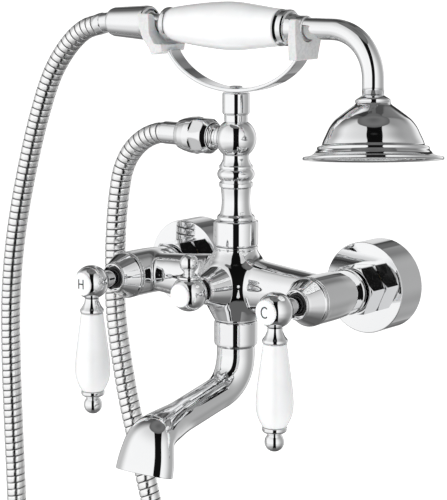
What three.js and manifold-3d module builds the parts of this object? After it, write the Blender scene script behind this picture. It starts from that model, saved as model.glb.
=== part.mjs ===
// Wall mounted bath mixer with two lever handles, a diverter, a swivel spout and a hand
// shower on a cradle. Millimetres, +Z up. The wall is the plane y = 0 and the room is at -Y.
// Origin: on the wall, midway between the two inlets. Hot is at -X and cold at +X.
import * as THREE from "three";
import { mergeVertices } from "three/addons/utils/BufferGeometryUtils.js";
import { LoftGeometry } from "three/addons/geometries/LoftGeometry.js";
import Module from "manifold-3d";

const wasm = await Module();
wasm.setup();

// ---- Driving dimensions ----
const GAP = 0.3; // clearance between neighbouring pieces
const WIDE = 24; // sides of the widest turned pieces
const FINE = 14; // sides of most turned pieces
const COARSE = 10; // sides of the small and hidden ones

const INLET_SPACING = 150; // between the two wall inlets
const BODY_REACH = 60.5; // wall to the axis of the body, the riser and the spout
const ROSE_RADIUS = 29.5; // wall escutcheon
const ROSE_DEPTH = 23;
const NUT_FLATS = 30; // across the flats of the union nuts
const NUT_TURN = 5.5; // degrees the flats are turned from upright
const BARREL_BACK = 40.3; // valve barrel, distances from the wall
const BARREL_FRONT = 82.4;
const BARREL_RADIUS = 15.4;
const HUB_REACH = 117.2; // wall to the centre of a lever hub
const HUB_RADIUS = 11.2;
const INLET_DROP = 6; // offset of the eccentric wall connectors

const DIVERTER_REACH = 108; // wall to the centre of the diverter knob
const DIVERTER_RADIUS = 11.5;

const BOSS_FRONT = 79.2; // seat of the diverter's bonnet, from the wall
const BODY_TOP = 24.7; // seats of the riser and of the spout on the body
const BODY_BOTTOM = -24.3;
const COLLAR_RADIUS = 14.5;

const BALL_HEIGHT = 94.3; // ball on the riser that feeds the hose
const BALL_RADIUS = 13.1;
const CRADLE_SEAT = 124.2; // underside of the cradle strap
const STRAP_WIDTH = 12;
const STRAP_THICKNESS = 2.6;
const CRADLE_HALF_SPAN = 56; // half axes of the strap's curve
const CRADLE_RISE = 36;
const CRADLE_SWEEP = 70; // degrees of that curve each side of the bottom
const FORK_HALF_WIDTH = 13.8;
const NECK_RADIUS = 6.7; // handset parts that lie in the left and the right fork
const BEAD_RADIUS = 7.9;

const HANDSET_HEIGHT = 166.2; // hand shower axis over the riser
const HANDSET_PITCH = 0.25; // degrees, shower end up
const HANDSET_ROLL = 6.9; // degrees, spray tipped towards the room
const ELBOW_RADIUS = 32;
const ELBOW_TURN = 84.6; // degrees
const ELBOW_REACH = 108.1; // end of the bend along the handset axis
const ELBOW_TUBE = 6.7;
const BELL_RADIUS = 42.8;

const HOSE_RADIUS = 7;
const HOSE_SIDES = 8;
const HOSE_STEPS = 60;

// Route of the hose's centreline, in x and z: it hangs in the plane of the riser.
const HOSE_ROUTE = [
  [-59.8, 94.2], [-66, 93.4], [-75.8, 89.8], [-84.6, 83.9], [-91.9, 76], [-97.2, 66],
  [-100.2, 54], [-103, 36], [-105.2, 5], [-104.6, -35], [-95, -88],
  [-84.5, -125], [-73, -165], [-61, -210], [-50, -257], [-41, -305],
  [-36, -352], [-37, -399], [-47, -443], [-67, -481], [-95, -507],
  [-126, -515], [-156, -504], [-180, -477], [-195, -438], [-201, -390],
  [-203, -330], [-203.5, -255], [-204, -185], [-206, -125], [-207, -80],
  [-206.4, -40], [-203.2, -8], [-197.2, 24], [-187, 62], [-175, 98],
  [-161, 129], [-145.5, 148.5], [-130.5, 159.6], [-117.6, 163.6],
];

// ---- Materials ----
const standard = (color, roughness, metalness) =>
  new THREE.MeshStandardMaterial({ color, roughness, metalness });
const CHROME = standard(0xe6e8ea, 0.06, 1);
const BRASS = standard(0xb9975b, 0.35, 1);
const CERAMIC = standard(0xf4f4f2, 0.12, 0);
const PLASTIC = standard(0xe4e6e4, 0.35, 0);
const RUBBER = standard(0x1d1d1e, 0.7, 0);
const STEEL = standard(0xb8bbbf, 0.3, 1);

// ---- Shape helpers ----
const rad = THREE.MathUtils.degToRad;

// A turned shape from [radius, height] points. It is solid if the profile starts on the
// axis; a profile that starts off the axis is closed into a ring.
function turned(profile, sides = FINE) {
  const points = profile.map(([r, h]) => new THREE.Vector2(r, h));
  if (profile[0][0] > 0) points.push(points[0].clone());
  return new THREE.LatheGeometry(points, sides);
}

// Turns a shape whose own axis is +Y so that the axis points another way.
const upward = (g) => g.rotateX(Math.PI / 2);
const forward = (g) => g.rotateX(Math.PI);
const rightward = (g) => g.rotateZ(-Math.PI / 2);
const leftward = (g) => g.rotateZ(Math.PI / 2);

// Points of an arc of a profile, from one angle to another, in degrees from the radius.
function arc(radius, height, from, to, steps, centre = 0) {
  return Array.from({ length: steps + 1 }, (_, i) => {
    const a = rad(from + ((to - from) * i) / steps);
    return [centre + radius * Math.cos(a), height + radius * Math.sin(a)];
  });
}

// A plain round bar between two heights on its own axis.
const bar = (radius, from, to, sides = COARSE) =>
  turned([[0, from], [radius, from], [radius, to], [0, to]], sides);

// A closed three.js geometry as a manifold solid, and back.
function solid(geometry) {
  const bare = new THREE.BufferGeometry();
  bare.setAttribute("position", geometry.getAttribute("position"));
  if (geometry.index) bare.setIndex(geometry.index);
  const merged = mergeVertices(bare, 1e-3);
  const vertProperties = merged.attributes.position.array;
  const triVerts = new Uint32Array(merged.index.array);
  return new wasm.Manifold(new wasm.Mesh({ numProp: 3, vertProperties, triVerts }));
}

function shapeOf(manifold) {
  const mesh = manifold.getMesh();
  const positions = new Float32Array(mesh.numVert * 3);
  for (let i = 0; i < mesh.numVert; i++)
    for (let k = 0; k < 3; k++)
      positions[3 * i + k] = mesh.vertProperties[i * mesh.numProp + k];
  const geometry = new THREE.BufferGeometry();
  geometry.setAttribute("position", new THREE.BufferAttribute(positions, 3));
  geometry.setIndex(new THREE.BufferAttribute(new Uint32Array(mesh.triVerts), 1));
  return geometry;
}

const join = (...shapes) =>
  shapeOf(shapes.map(solid).reduce((a, b) => a.add(b)));
const cut = (shape, ...tools) =>
  shapeOf(tools.map(solid).reduce((a, b) => a.subtract(b), solid(shape)));
const common = (a, b) => shapeOf(solid(a).intersect(solid(b)));

// A tube along a curve. Its half width and half depth are given along the way from 0 to 1.
function tubeAlong(curve, widthAt, depthAt, steps, sides) {
  const frames = curve.computeFrenetFrames(steps, false);
  const sections = Array.from({ length: steps + 1 }, (_, i) => {
    const centre = curve.getPointAt(i / steps);
    const width = widthAt(i / steps);
    const depth = depthAt(i / steps);
    return Array.from({ length: sides }, (_, j) => {
      const angle = (2 * Math.PI * j) / sides;
      return centre.clone()
        .addScaledVector(frames.normals[i], depth * Math.cos(angle))
        .addScaledVector(frames.binormals[i], width * Math.sin(angle));
    });
  });
  return new LoftGeometry(sections, { capStart: true, capEnd: true });
}

function piece(name, geometry, material, parent) {
  const mesh = new THREE.Mesh(geometry, material);
  mesh.name = name;
  parent.add(mesh);
  return mesh;
}

const UP = new THREE.Vector3(0, 1, 0); // the axis that turned shapes are made on
const faucet = new THREE.Group();

// ---- One supply: wall connector, escutcheon, union and valve with its lever ----
// Built on its own axis at x = 0; heights along that axis are distances from the wall.
function buildSupply(side, x) {
  const group = new THREE.Group();
  group.position.x = x;
  faucet.add(group);
  const add = (name, geometry, material) =>
    piece(`${name}_${side}`, geometry, material, group);

  const wallEnd = forward(bar(10.3, -18, 8)).translate(0, 0, -INLET_DROP);
  const wallBore = forward(bar(7, -19, 9)).translate(0, 0, -INLET_DROP);
  const valveEnd = forward(bar(12.5, 10, 28.2, FINE));
  const valveBore = forward(bar(8, 8, 29));
  const flange = forward(bar(17.5, 5, 11)).translate(0, 0, -INLET_DROP / 2);
  add("eccentric_connector", cut(join(wallEnd, flange, valveEnd), wallBore, valveBore), BRASS);

  add("escutcheon", forward(turned([
    [28, 0], [ROSE_RADIUS, 0], [ROSE_RADIUS, ROSE_DEPTH - 0.8],
    [ROSE_RADIUS - 0.8, ROSE_DEPTH], [14, ROSE_DEPTH],
    [14, ROSE_DEPTH - 1.5], [28, ROSE_DEPTH - 1.5],
  ], WIDE)), CHROME);

  // Hexagon with turned corners, over a threaded cavity and a lip that holds the tail.
  const nutBack = ROSE_DEPTH + GAP;
  const nutFront = 38.4;
  const corner = NUT_FLATS / Math.sqrt(3);
  const hexagon = forward(turned([
    [0, nutBack], [corner, nutBack], [corner, nutFront], [0, nutFront],
  ], 6).rotateY(rad(30 + NUT_TURN)));
  const cornerCone = forward(turned([
    [0, nutBack], [16.2, nutBack], [17.4, nutBack + 1.2], [17.4, nutFront - 1.2],
    [16.2, nutFront], [0, nutFront],
  ], 18));
  const nutCavity = forward(bar(13, nutBack - 1, 34.6, FINE));
  const nutLip = forward(bar(10.4, 34, nutFront + 1, FINE));
  add("union_nut", cut(common(hexagon, cornerCone), nutCavity, nutLip), CHROME);
  add("union_washer", forward(turned([
    [8, 28.5], [12.4, 28.5], [12.4, 30.2], [8, 30.2],
  ], COARSE)), RUBBER);
  add("inlet_tail", forward(turned([
    [7.5, 30.5], [12.5, 30.5], [12.5, 33.6], [9.8, 33.6], [9.8, 52], [7.5, 52],
  ])), BRASS);

  add("cartridge", forward(turned([
    [6, 54], [11.4, 54], [11.4, 74.8], [8.8, 74.8], [8.8, 80], [4.2, 80], [4.2, 64],
    [6, 64],
  ])), BRASS);
  add("spindle", forward(turned([
    [0, 64.5], [3.6, 64.5], [3.6, 80.6], [5.5, 82], [5.5, 106],
    [3.9, 106], [3.9, 114.2], [2.6, 114.2], [2.6, 103], [0, 103],
  ], COARSE)), CHROME);
  add("bonnet", forward(turned([
    [9.3, 75.2], [11.4, 75.2], [11.4, BARREL_FRONT + GAP], [15.2, BARREL_FRONT + GAP],
    [15.6, 83.6], [15.2, 84.9], [10.6, 94], [9.6, 95.2], [9.4, 96.9],
    [8.4, 96.9], [8.4, 93.5], [6.1, 93.5], [6.1, 89.5], [9.3, 87.5],
  ])), CHROME);

  // Hub: a ball with a flat front, a recess for the screw and a hole for the lever rod.
  const faceReach = HUB_REACH + 8.4;
  const ball = forward(turned([
    [4.3, HUB_REACH - 9.9], ...arc(HUB_RADIUS, HUB_REACH, -60, 48, 5),
    [6.9, faceReach], [6.9, 118.5], [2.8, 118.5], [2.8, 115], [4.3, 115],
  ], FINE));
  const rodHole = upward(bar(2.4, -13, -6.4, 8)).translate(0, -HUB_REACH, 0);
  add("handle_hub", cut(ball, rodHole), CHROME);
  add("handle_screw", forward(turned([
    [0, 104], [2.2, 104], [2.2, 118.8], [4.2, 118.8], [4.2, 121.6], [0, 121.6],
  ], COARSE)), STEEL);
  add("index_button", forward(turned([
    [0, 122], [6.5, 122], [6.5, faceReach + GAP], [7.6, faceReach + GAP],
    [7.6, faceReach + 1], [6.9, faceReach + 1.6], [0, faceReach + 1.9],
  ])), CERAMIC);

  // Lever: a flared collar, a ceramic grip and a finial whose rod holds them to the hub.
  const lever = new THREE.Group();
  lever.position.y = -HUB_REACH;
  group.add(lever);
  const addLever = (name, profile, material, sides) =>
    piece(`${name}_${side}`, upward(turned(profile, sides)), material, lever);
  addLever("lever_collar", [
    [2.4, -20.2], [7.2, -20.2], [8, -19.2], [7.9, -18], [5.4, -13.6],
    [4.5, -11.6], [2.4, -11.6],
  ], CHROME, COARSE);
  addLever("lever_grip", [
    [2.5, -72.2], [7.5, -72.2], [10.2, -67], [11.6, -58.6], [9.9, -40],
    [7.4, -20.5], [2.5, -20.5],
  ], CERAMIC, FINE);
  addLever("lever_finial", [
    [0, -88], ...arc(6.1, -81.9, -60, 45, 5), [7.4, -74.8],
    [7.6, -72.5], [2, -72.5], [2, -7], [0, -7],
  ], CHROME, COARSE);
}

buildSupply("hot", -INLET_SPACING / 2);
buildSupply("cold", INLET_SPACING / 2);

// ---- Body casting: both barrels, the arms, the hub and its seats ----
function buildBody() {
  const half = INLET_SPACING / 2;
  const onAxis = (shape) => shape.translate(0, -BODY_REACH, 0);
  const core = onAxis(upward(turned([
    [0, -33], [12, -33], [12, BODY_BOTTOM], [13.8, BODY_BOTTOM], [17.4, -16.4],
    [20.2, -8], [20.2, 8], [17.4, 15.8], [13.6, 22.2],
    [14, 23.4], [13.6, BODY_TOP], [12.3, BODY_TOP], [12.3, 33.4], [0, 33.4],
  ], 20)));
  const armProfile = [[0, 0], [18.6, 0], [16.4, 28], [14.2, 48], [12, half], [0, half]];
  const arm = (turn) => onAxis(turn(turned(armProfile)));
  const barrelProfile = [
    [0, BARREL_BACK], [13.6, BARREL_BACK], [14.6, 41.8], [14.2, 43.9],
    [15.2, 58], [BARREL_RADIUS, 81.6], [15, BARREL_FRONT], [0, BARREL_FRONT],
  ];
  const barrel = (x) => forward(turned(barrelProfile)).translate(x, 0, 0);
  const boss = forward(turned([
    [0, BODY_REACH], [16.5, BODY_REACH], [13.4, BOSS_FRONT], [0, BOSS_FRONT],
  ]));
  const barrelBore = (x) => forward(turned([
    [0, 39], [10.3, 39], [10.3, 53.5], [11.8, 53.5], [11.8, 84], [0, 84],
  ])).translate(x, 0, 0);
  const armBore = onAxis(rightward(bar(7.5, -half, half)));
  const riserBore = onAxis(upward(turned([
    [0, -34], [9.8, -34], [9.8, -20], [7.5, -18], [7.5, 34], [0, 34],
  ])));
  const bossBore = forward(bar(10.4, BODY_REACH + 0.2, 82, FINE));
  const bossFace = forward(bar(14.6, BOSS_FRONT, 82, FINE));
  piece("main_body", cut(
    join(core, arm(rightward), arm(leftward), barrel(-half), barrel(half), boss),
    barrelBore(-half), barrelBore(half), armBore, riserBore, bossBore, bossFace,
  ), CHROME, faucet);
}
buildBody();

// ---- Diverter: cartridge, spindle and a ball knob with a small pointer ----
function buildDiverter() {
  const faceReach = DIVERTER_REACH + 8.7;
  const add = (name, shape, material) => piece(name, shape, material, faucet);
  add("diverter_cartridge", forward(turned([
    [5.5, 61], [9.9, 61], [9.9, 72.4], [7.4, 72.4], [7.4, 77.5], [3.9, 77.5], [3.9, 66],
    [5.5, 66],
  ])), BRASS);
  add("diverter_spindle", forward(turned([
    [0, 66.5], [3.2, 66.5], [3.2, 78], [4.4, 79], [4.4, 97.6],
    [3.6, 97.6], [3.6, 104.6], [2.6, 104.6], [2.6, 95], [0, 95],
  ], COARSE)), CHROME);
  add("diverter_bonnet", forward(turned([
    [8, 72.8], [9.9, 72.8], [9.9, 79.6], [13, 79.6], [13.4, 80.4], [8.9, 94.6],
    [8.5, 95.6], [7.4, 95.6], [7.4, 92.5], [5.1, 92.5], [5.1, 88], [8, 86],
  ])), CHROME);
  const ball = forward(turned([
    [4.1, DIVERTER_REACH - 9.9], ...arc(DIVERTER_RADIUS, DIVERTER_REACH, -58, 49, 5),
    [6.9, faceReach], [6.9, 109.5], [2.8, 109.5], [2.8, 105.4], [4.1, 105.4],
  ]));
  const studHole = upward(bar(2.7, 7.2, 13, 8)).translate(0, -DIVERTER_REACH, 0);
  add("diverter_hub", cut(ball, studHole), CHROME);
  add("diverter_screw", forward(turned([
    [0, 96], [2.2, 96], [2.2, 109.8], [4.2, 109.8], [4.2, 112.4], [0, 112.4],
  ], COARSE)), STEEL);
  add("diverter_button", forward(turned([
    [0, 112.8], [6.5, 112.8], [6.5, faceReach + GAP], [7.4, faceReach + GAP],
    [7.4, faceReach + 0.9], [6.7, faceReach + 1.5], [0, faceReach + 1.8],
  ])), CERAMIC);
  add("diverter_pointer", upward(turned([
    [0, 7.5], [2.3, 7.5], [2.3, 11.9], [5, 10.9], [7.2, 9.5], [7.4, 10.8],
    [4, 12.2], ...arc(6.1, 19.3, -55, 60, 5), [0, 25.4],
  ], COARSE)).translate(0, -DIVERTER_REACH, 0), CHROME);
}
buildDiverter();

// ---- Spout: a collar nut, a bent tube that flares to its outlet, a seal, an aerator ----
const SPOUT_SLOPE = 12; // degrees below level along the reach
const MOUTH_LEAN = 16; // degrees forward of straight down at the outlet
const MOUTH = new THREE.Vector3(0, -152.5, -107);
const MOUTH_RADIUS = 18; // mean half width of the flared mouth
const MOUTH_WIDER = 1.16; // the mouth is an oval, wide from side to side
const MOUTH_SHALLOWER = 0.7;
const SPOUT_WALL = 3;

// Direction downwards, leant towards the room by an angle in degrees.
const slanted = (lean) => new THREE.Vector3(0, -Math.sin(rad(lean)), -Math.cos(rad(lean)));

// Centreline of the spout from its seat to the outlet.
class SpoutLine extends THREE.Curve {
  constructor(lift = 0) {
    super();
    const start = new THREE.Vector3(0, -BODY_REACH, -41.1 + lift);
    const firstBend = new THREE.Vector3(0, -BODY_REACH, -46);
    const reachWay = slanted(90 - SPOUT_SLOPE);
    const down = slanted(MOUTH_LEAN);
    const bent = firstBend.clone().add(new THREE.Vector3(0, -19.8, -24.5));
    const mouthStart = MOUTH.clone().addScaledVector(down, -12);
    const secondBend = bent.clone().addScaledVector(reachWay, 54);
    this.parts = new THREE.CurvePath();
    this.parts.add(new THREE.LineCurve3(start, firstBend));
    this.parts.add(new THREE.CubicBezierCurve3(
      firstBend, firstBend.clone().add(new THREE.Vector3(0, 0, -13)),
      bent.clone().addScaledVector(reachWay, -13), bent,
    ));
    this.parts.add(new THREE.LineCurve3(bent, secondBend));
    this.parts.add(new THREE.CubicBezierCurve3(
      secondBend, secondBend.clone().addScaledVector(reachWay, 12),
      mouthStart.clone().addScaledVector(down, -10), mouthStart,
    ));
    this.parts.add(new THREE.LineCurve3(mouthStart, MOUTH));
  }
  getPoint(t, target = new THREE.Vector3()) {
    return target.copy(this.parts.getPoint(t));
  }
}

// Radius of the spout along its length: it narrows to the reach, then flares to the mouth.
function spoutRadius(t) {
  const smooth = THREE.MathUtils.smoothstep;
  const neck = THREE.MathUtils.lerp(12.4, 10.6, smooth(t, 0.08, 0.35));
  const flare = 3.2 * smooth(t, 0.58, 0.8) + (MOUTH_RADIUS - 13.8) * smooth(t, 0.72, 1);
  return neck + flare;
}

// The flare spreads sideways and flattens from front to back.
const ovalShare = (t) => THREE.MathUtils.smoothstep(t, 0.55, 0.95);
const spoutWidth = (t) => spoutRadius(t) * (1 + (MOUTH_WIDER - 1) * ovalShare(t));
const spoutDepth = (t) => spoutRadius(t) * (1 + (MOUTH_SHALLOWER - 1) * ovalShare(t));

function buildSpout() {
  piece("spout_collar_nut", upward(turned([
    [10.8, -41], [12.9, -41], [13.9, -40.2], [14.1, -38.6], [14.1, -25.8], [13.6, -24.7],
    [12.4, -24.7], [12.4, -37.6], [10.8, -37.6],
  ])).translate(0, -BODY_REACH, 0), CHROME, faucet);
  const tube = tubeAlong(new SpoutLine(), spoutWidth, spoutDepth, 22, 18);
  const neck = upward(turned([
    [0, -42], [10.4, -42], [10.4, -37.1], [12, -37.1], [12, -33.6], [9.2, -33.6],
    [9.2, -32.2], [7.7, -32.2], [7.7, -30.2], [9.2, -30.2], [9.2, -27], [0, -27],
  ])).translate(0, -BODY_REACH, 0);
  const inside = (sizeAt) => (t) => (t < 0.3 ? 6.4 : sizeAt(t) - SPOUT_WALL);
  const bore = tubeAlong(new SpoutLine(20), inside(spoutWidth), inside(spoutDepth), 16, 12);
  // An oval bar on the mouth's axis, between two distances past the lip.
  const mouthBar = (halfWidth, halfDepth, from, to, sides = FINE) =>
    new THREE.CylinderGeometry(1, 1, to - from, sides)
      .scale(halfWidth, 1, halfDepth)
      .translate(0, (from + to) / 2, 0)
      .applyQuaternion(new THREE.Quaternion().setFromUnitVectors(UP, slanted(MOUTH_LEAN)))
      .translate(MOUTH.x, MOUTH.y, MOUTH.z);
  const recess = mouthBar(17.6, 10.1, -14, 1, 18);
  piece("spout_tube", cut(join(tube, neck), bore, recess), CHROME, faucet);
  piece("spout_o_ring", upward(new THREE.LatheGeometry(
    arc(0.7, -31.2, 0, 360, 6, 8.7).map(([r, h]) => new THREE.Vector2(r, h)), FINE,
  )).translate(0, -BODY_REACH, 0), RUBBER, faucet);
  piece("aerator", cut(
    mouthBar(17.2, 9.7, -13.6, -2, 18),
    mouthBar(14.8, 7.5, -9, 0, 18),
    ...[-10, 0, 10].map((x) => mouthBar(2.6, 2.6, -15, 0, 6).translate(x, 0, 0)),
  ), PLASTIC, faucet);
}
buildSpout();

// ---- Riser: union nut, turned column, ball with the hose outlet, cradle ----
function buildRiser() {
  const add = (name, shape, material) =>
    piece(name, shape.translate(0, -BODY_REACH, 0), material, faucet);
  add("riser_union_nut", upward(turned([
    [12.7, 25], [13.8, 25], [COLLAR_RADIUS, 25.9], [COLLAR_RADIUS, 40.4], [13.6, 41.4],
    [10.4, 41.4], [10.4, 38.8], [12.7, 38.8],
  ])), CHROME);
  add("riser_washer", upward(turned([[8, 33.7], [12, 33.7], [12, 35.1], [8, 35.1]])), RUBBER);
  add("riser_column", upward(turned([
    [6.3, 35.4], [12.3, 35.4], [12.3, 38.3], [9.9, 38.3], [9.9, 41.8], [11.9, 41.8],
    [12.1, 43.4], [10.4, 45.6], [9.2, 54.4], [9.8, 62.8],
    [10.8, 63.6], [10.8, 65.6], [10, 66.4], [11.8, 69], [11.8, 73],
    [10.4, 74.9], [10.7, 77], [8.4, 81], [8.3, 84], [6.3, 84],
  ])), CHROME);

  const ballCurve = arc(BALL_RADIUS, BALL_HEIGHT, -50.7, 55, 7);
  const ball = upward(turned([[0, BALL_HEIGHT - 10], [8.3, BALL_HEIGHT - 10],
    ...ballCurve.slice(1), [0, BALL_HEIGHT + 10.73]]));
  const nipple = leftward(turned([
    [0, 0], [7.8, 0], [7.8, 12.2], [6.8, 13.5], [7.7, 15.6],
    [6.7, 17.4], [8.6, 18.2], [8.6, 27.8], [0, 27.8],
  ])).translate(0, 0, BALL_HEIGHT);
  const feed = upward(bar(6.2, 80, BALL_HEIGHT));
  const outlet = leftward(bar(5, 0, 30)).translate(0, 0, BALL_HEIGHT);
  add("hose_outlet_ball", cut(join(ball, nipple), feed, outlet), CHROME);

  add("cradle_stem", upward(turned([
    [0, 105.4], [7.5, 105.4], [7.5, 110], [8.4, 110.4], [8.8, 112],
    [8.8, 123.2], [8.2, 123.9], [2.6, 123.9], [2.6, 113], [0, 113],
  ], COARSE)), CHROME);

  // Strap of the cradle: the lower part of an ellipse, extruded across its width.
  const centre = CRADLE_SEAT + CRADLE_RISE + STRAP_THICKNESS / 2;
  const strapEdge = (offset) => Array.from({ length: 19 }, (_, i) => {
    const a = rad(CRADLE_SWEEP * (i / 9 - 1));
    return new THREE.Vector2(
      (CRADLE_HALF_SPAN + offset) * Math.sin(a),
      centre - (CRADLE_RISE + offset) * Math.cos(a),
    );
  });
  const outline = new THREE.Shape([
    ...strapEdge(STRAP_THICKNESS / 2), ...strapEdge(-STRAP_THICKNESS / 2).reverse(),
  ]);
  const strap = new THREE.ExtrudeGeometry(outline, { depth: STRAP_WIDTH, bevelEnabled: false })
    .translate(0, 0, -STRAP_WIDTH / 2).rotateX(Math.PI / 2);
  const screwHole = upward(bar(2.6, 120, 130, 12));
  add("cradle_yoke", cut(strap, screwHole), CHROME);
  add("cradle_screw", upward(turned([
    [0, 114], [2.1, 114], [2.1, 127.1], [4.2, 127.1], [4, 127.9], [0, 128.2],
  ], COARSE)), STEEL);

  // Fork: a block on the strap's end, wider towards its prongs, with an open saddle for
  // the hand shower and a socket that takes the strap.
  const extrude = (points, depth) => {
    const flat = new THREE.Shape(points.map(([u, v]) => new THREE.Vector2(u, v)));
    return new THREE.ExtrudeGeometry(flat, { depth, bevelEnabled: false })
      .translate(0, 0, -depth / 2);
  };
  const socketEdge = STRAP_THICKNESS / 2 + GAP;
  const fork = (profile, saddleHeight, held) => {
    const block = extrude(profile, 2 * FORK_HALF_WIDTH).rotateX(Math.PI / 2);
    const taper = extrude([
      [-11.4, 140], [11.4, 140], [11.6, 148], [FORK_HALF_WIDTH, 160],
      [FORK_HALF_WIDTH, 180], [-FORK_HALF_WIDTH, 180], [-FORK_HALF_WIDTH, 160], [-11.6, 148],
    ], 160).rotateX(Math.PI / 2).rotateZ(Math.PI / 2);
    const rest = held + GAP;
    const saddle = rightward(bar(rest, -80, 80, 20)).translate(0, 0, saddleHeight);
    const opening = extrude([
      [-rest, saddleHeight], [rest, saddleHeight], [rest, saddleHeight + 3],
      [16, saddleHeight + 8], [-16, saddleHeight + 8], [-rest, saddleHeight + 3],
    ], 160).rotateX(Math.PI / 2).rotateZ(Math.PI / 2);
    const socket = extrude(
      [...strapEdge(socketEdge), ...strapEdge(-socketEdge).reverse()].map((p) => [p.x, p.y]),
      STRAP_WIDTH + 2 * GAP,
    ).rotateX(Math.PI / 2);
    return cut(common(block, taper), saddle, opening, socket);
  };
  const rise = Math.tan(rad(HANDSET_PITCH));
  add("cradle_fork_left", fork([
    [-61.6, 146.6], [-52.6, 147.4], [-52.6, 152.6], [-58.6, 153.4], [-61.8, 160],
    [-62.2, 172.2], [-70.7, 171.4], [-70.6, 166], [-67.6, 156.4],
  ], HANDSET_HEIGHT - 65 * rise, NECK_RADIUS), PLASTIC);
  add("cradle_fork_right", fork([
    [49.8, 147.6], [56.4, 147.6], [57.2, 160], [57, 172.8], [52.4, 172.8],
  ], HANDSET_HEIGHT + 54 * rise, BEAD_RADIUS), PLASTIC);
}
buildRiser();

// ---- Hose: end nut on the outlet, ferrules, the free hose, the upper cone nut ----
function buildHose() {
  const lower = (name, profile, material) =>
    piece(name, leftward(turned(profile)).translate(0, -BODY_REACH, BALL_HEIGHT), material, faucet);
  lower("hose_washer_lower", [[5.2, 28.2], [8.5, 28.2], [8.5, 29.6], [5.2, 29.6]], RUBBER);
  lower("hose_nut_lower", [
    [9.1, 18.4], [10.6, 19.4], [12.1, 24], [12.3, 30.5], [11.6, 37.5],
    [9.6, 44.9], [7.9, 44.9], [7.9, 34], [9.1, 34],
  ], CHROME);
  lower("hose_ferrule_lower", [
    [5.2, 30], [8.6, 30], [8.6, 33.6], [7.5, 33.6], [7.5, 58.4], [5.2, 58.4],
  ], CHROME);

  const points = HOSE_ROUTE.map(([x, z]) => new THREE.Vector3(x, -BODY_REACH, z));
  const route = new THREE.CatmullRomCurve3(points, false, "centripetal");
  const section = new THREE.Shape(Array.from({ length: HOSE_SIDES }, (_, i) => {
    const a = (2 * Math.PI * i) / HOSE_SIDES;
    return new THREE.Vector2(HOSE_RADIUS * Math.cos(a), HOSE_RADIUS * Math.sin(a));
  }));
  piece("shower_hose", new THREE.ExtrudeGeometry(section, {
    steps: HOSE_STEPS, extrudePath: route, bevelEnabled: false,
  }), STEEL, faucet);
}
buildHose();

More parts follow.
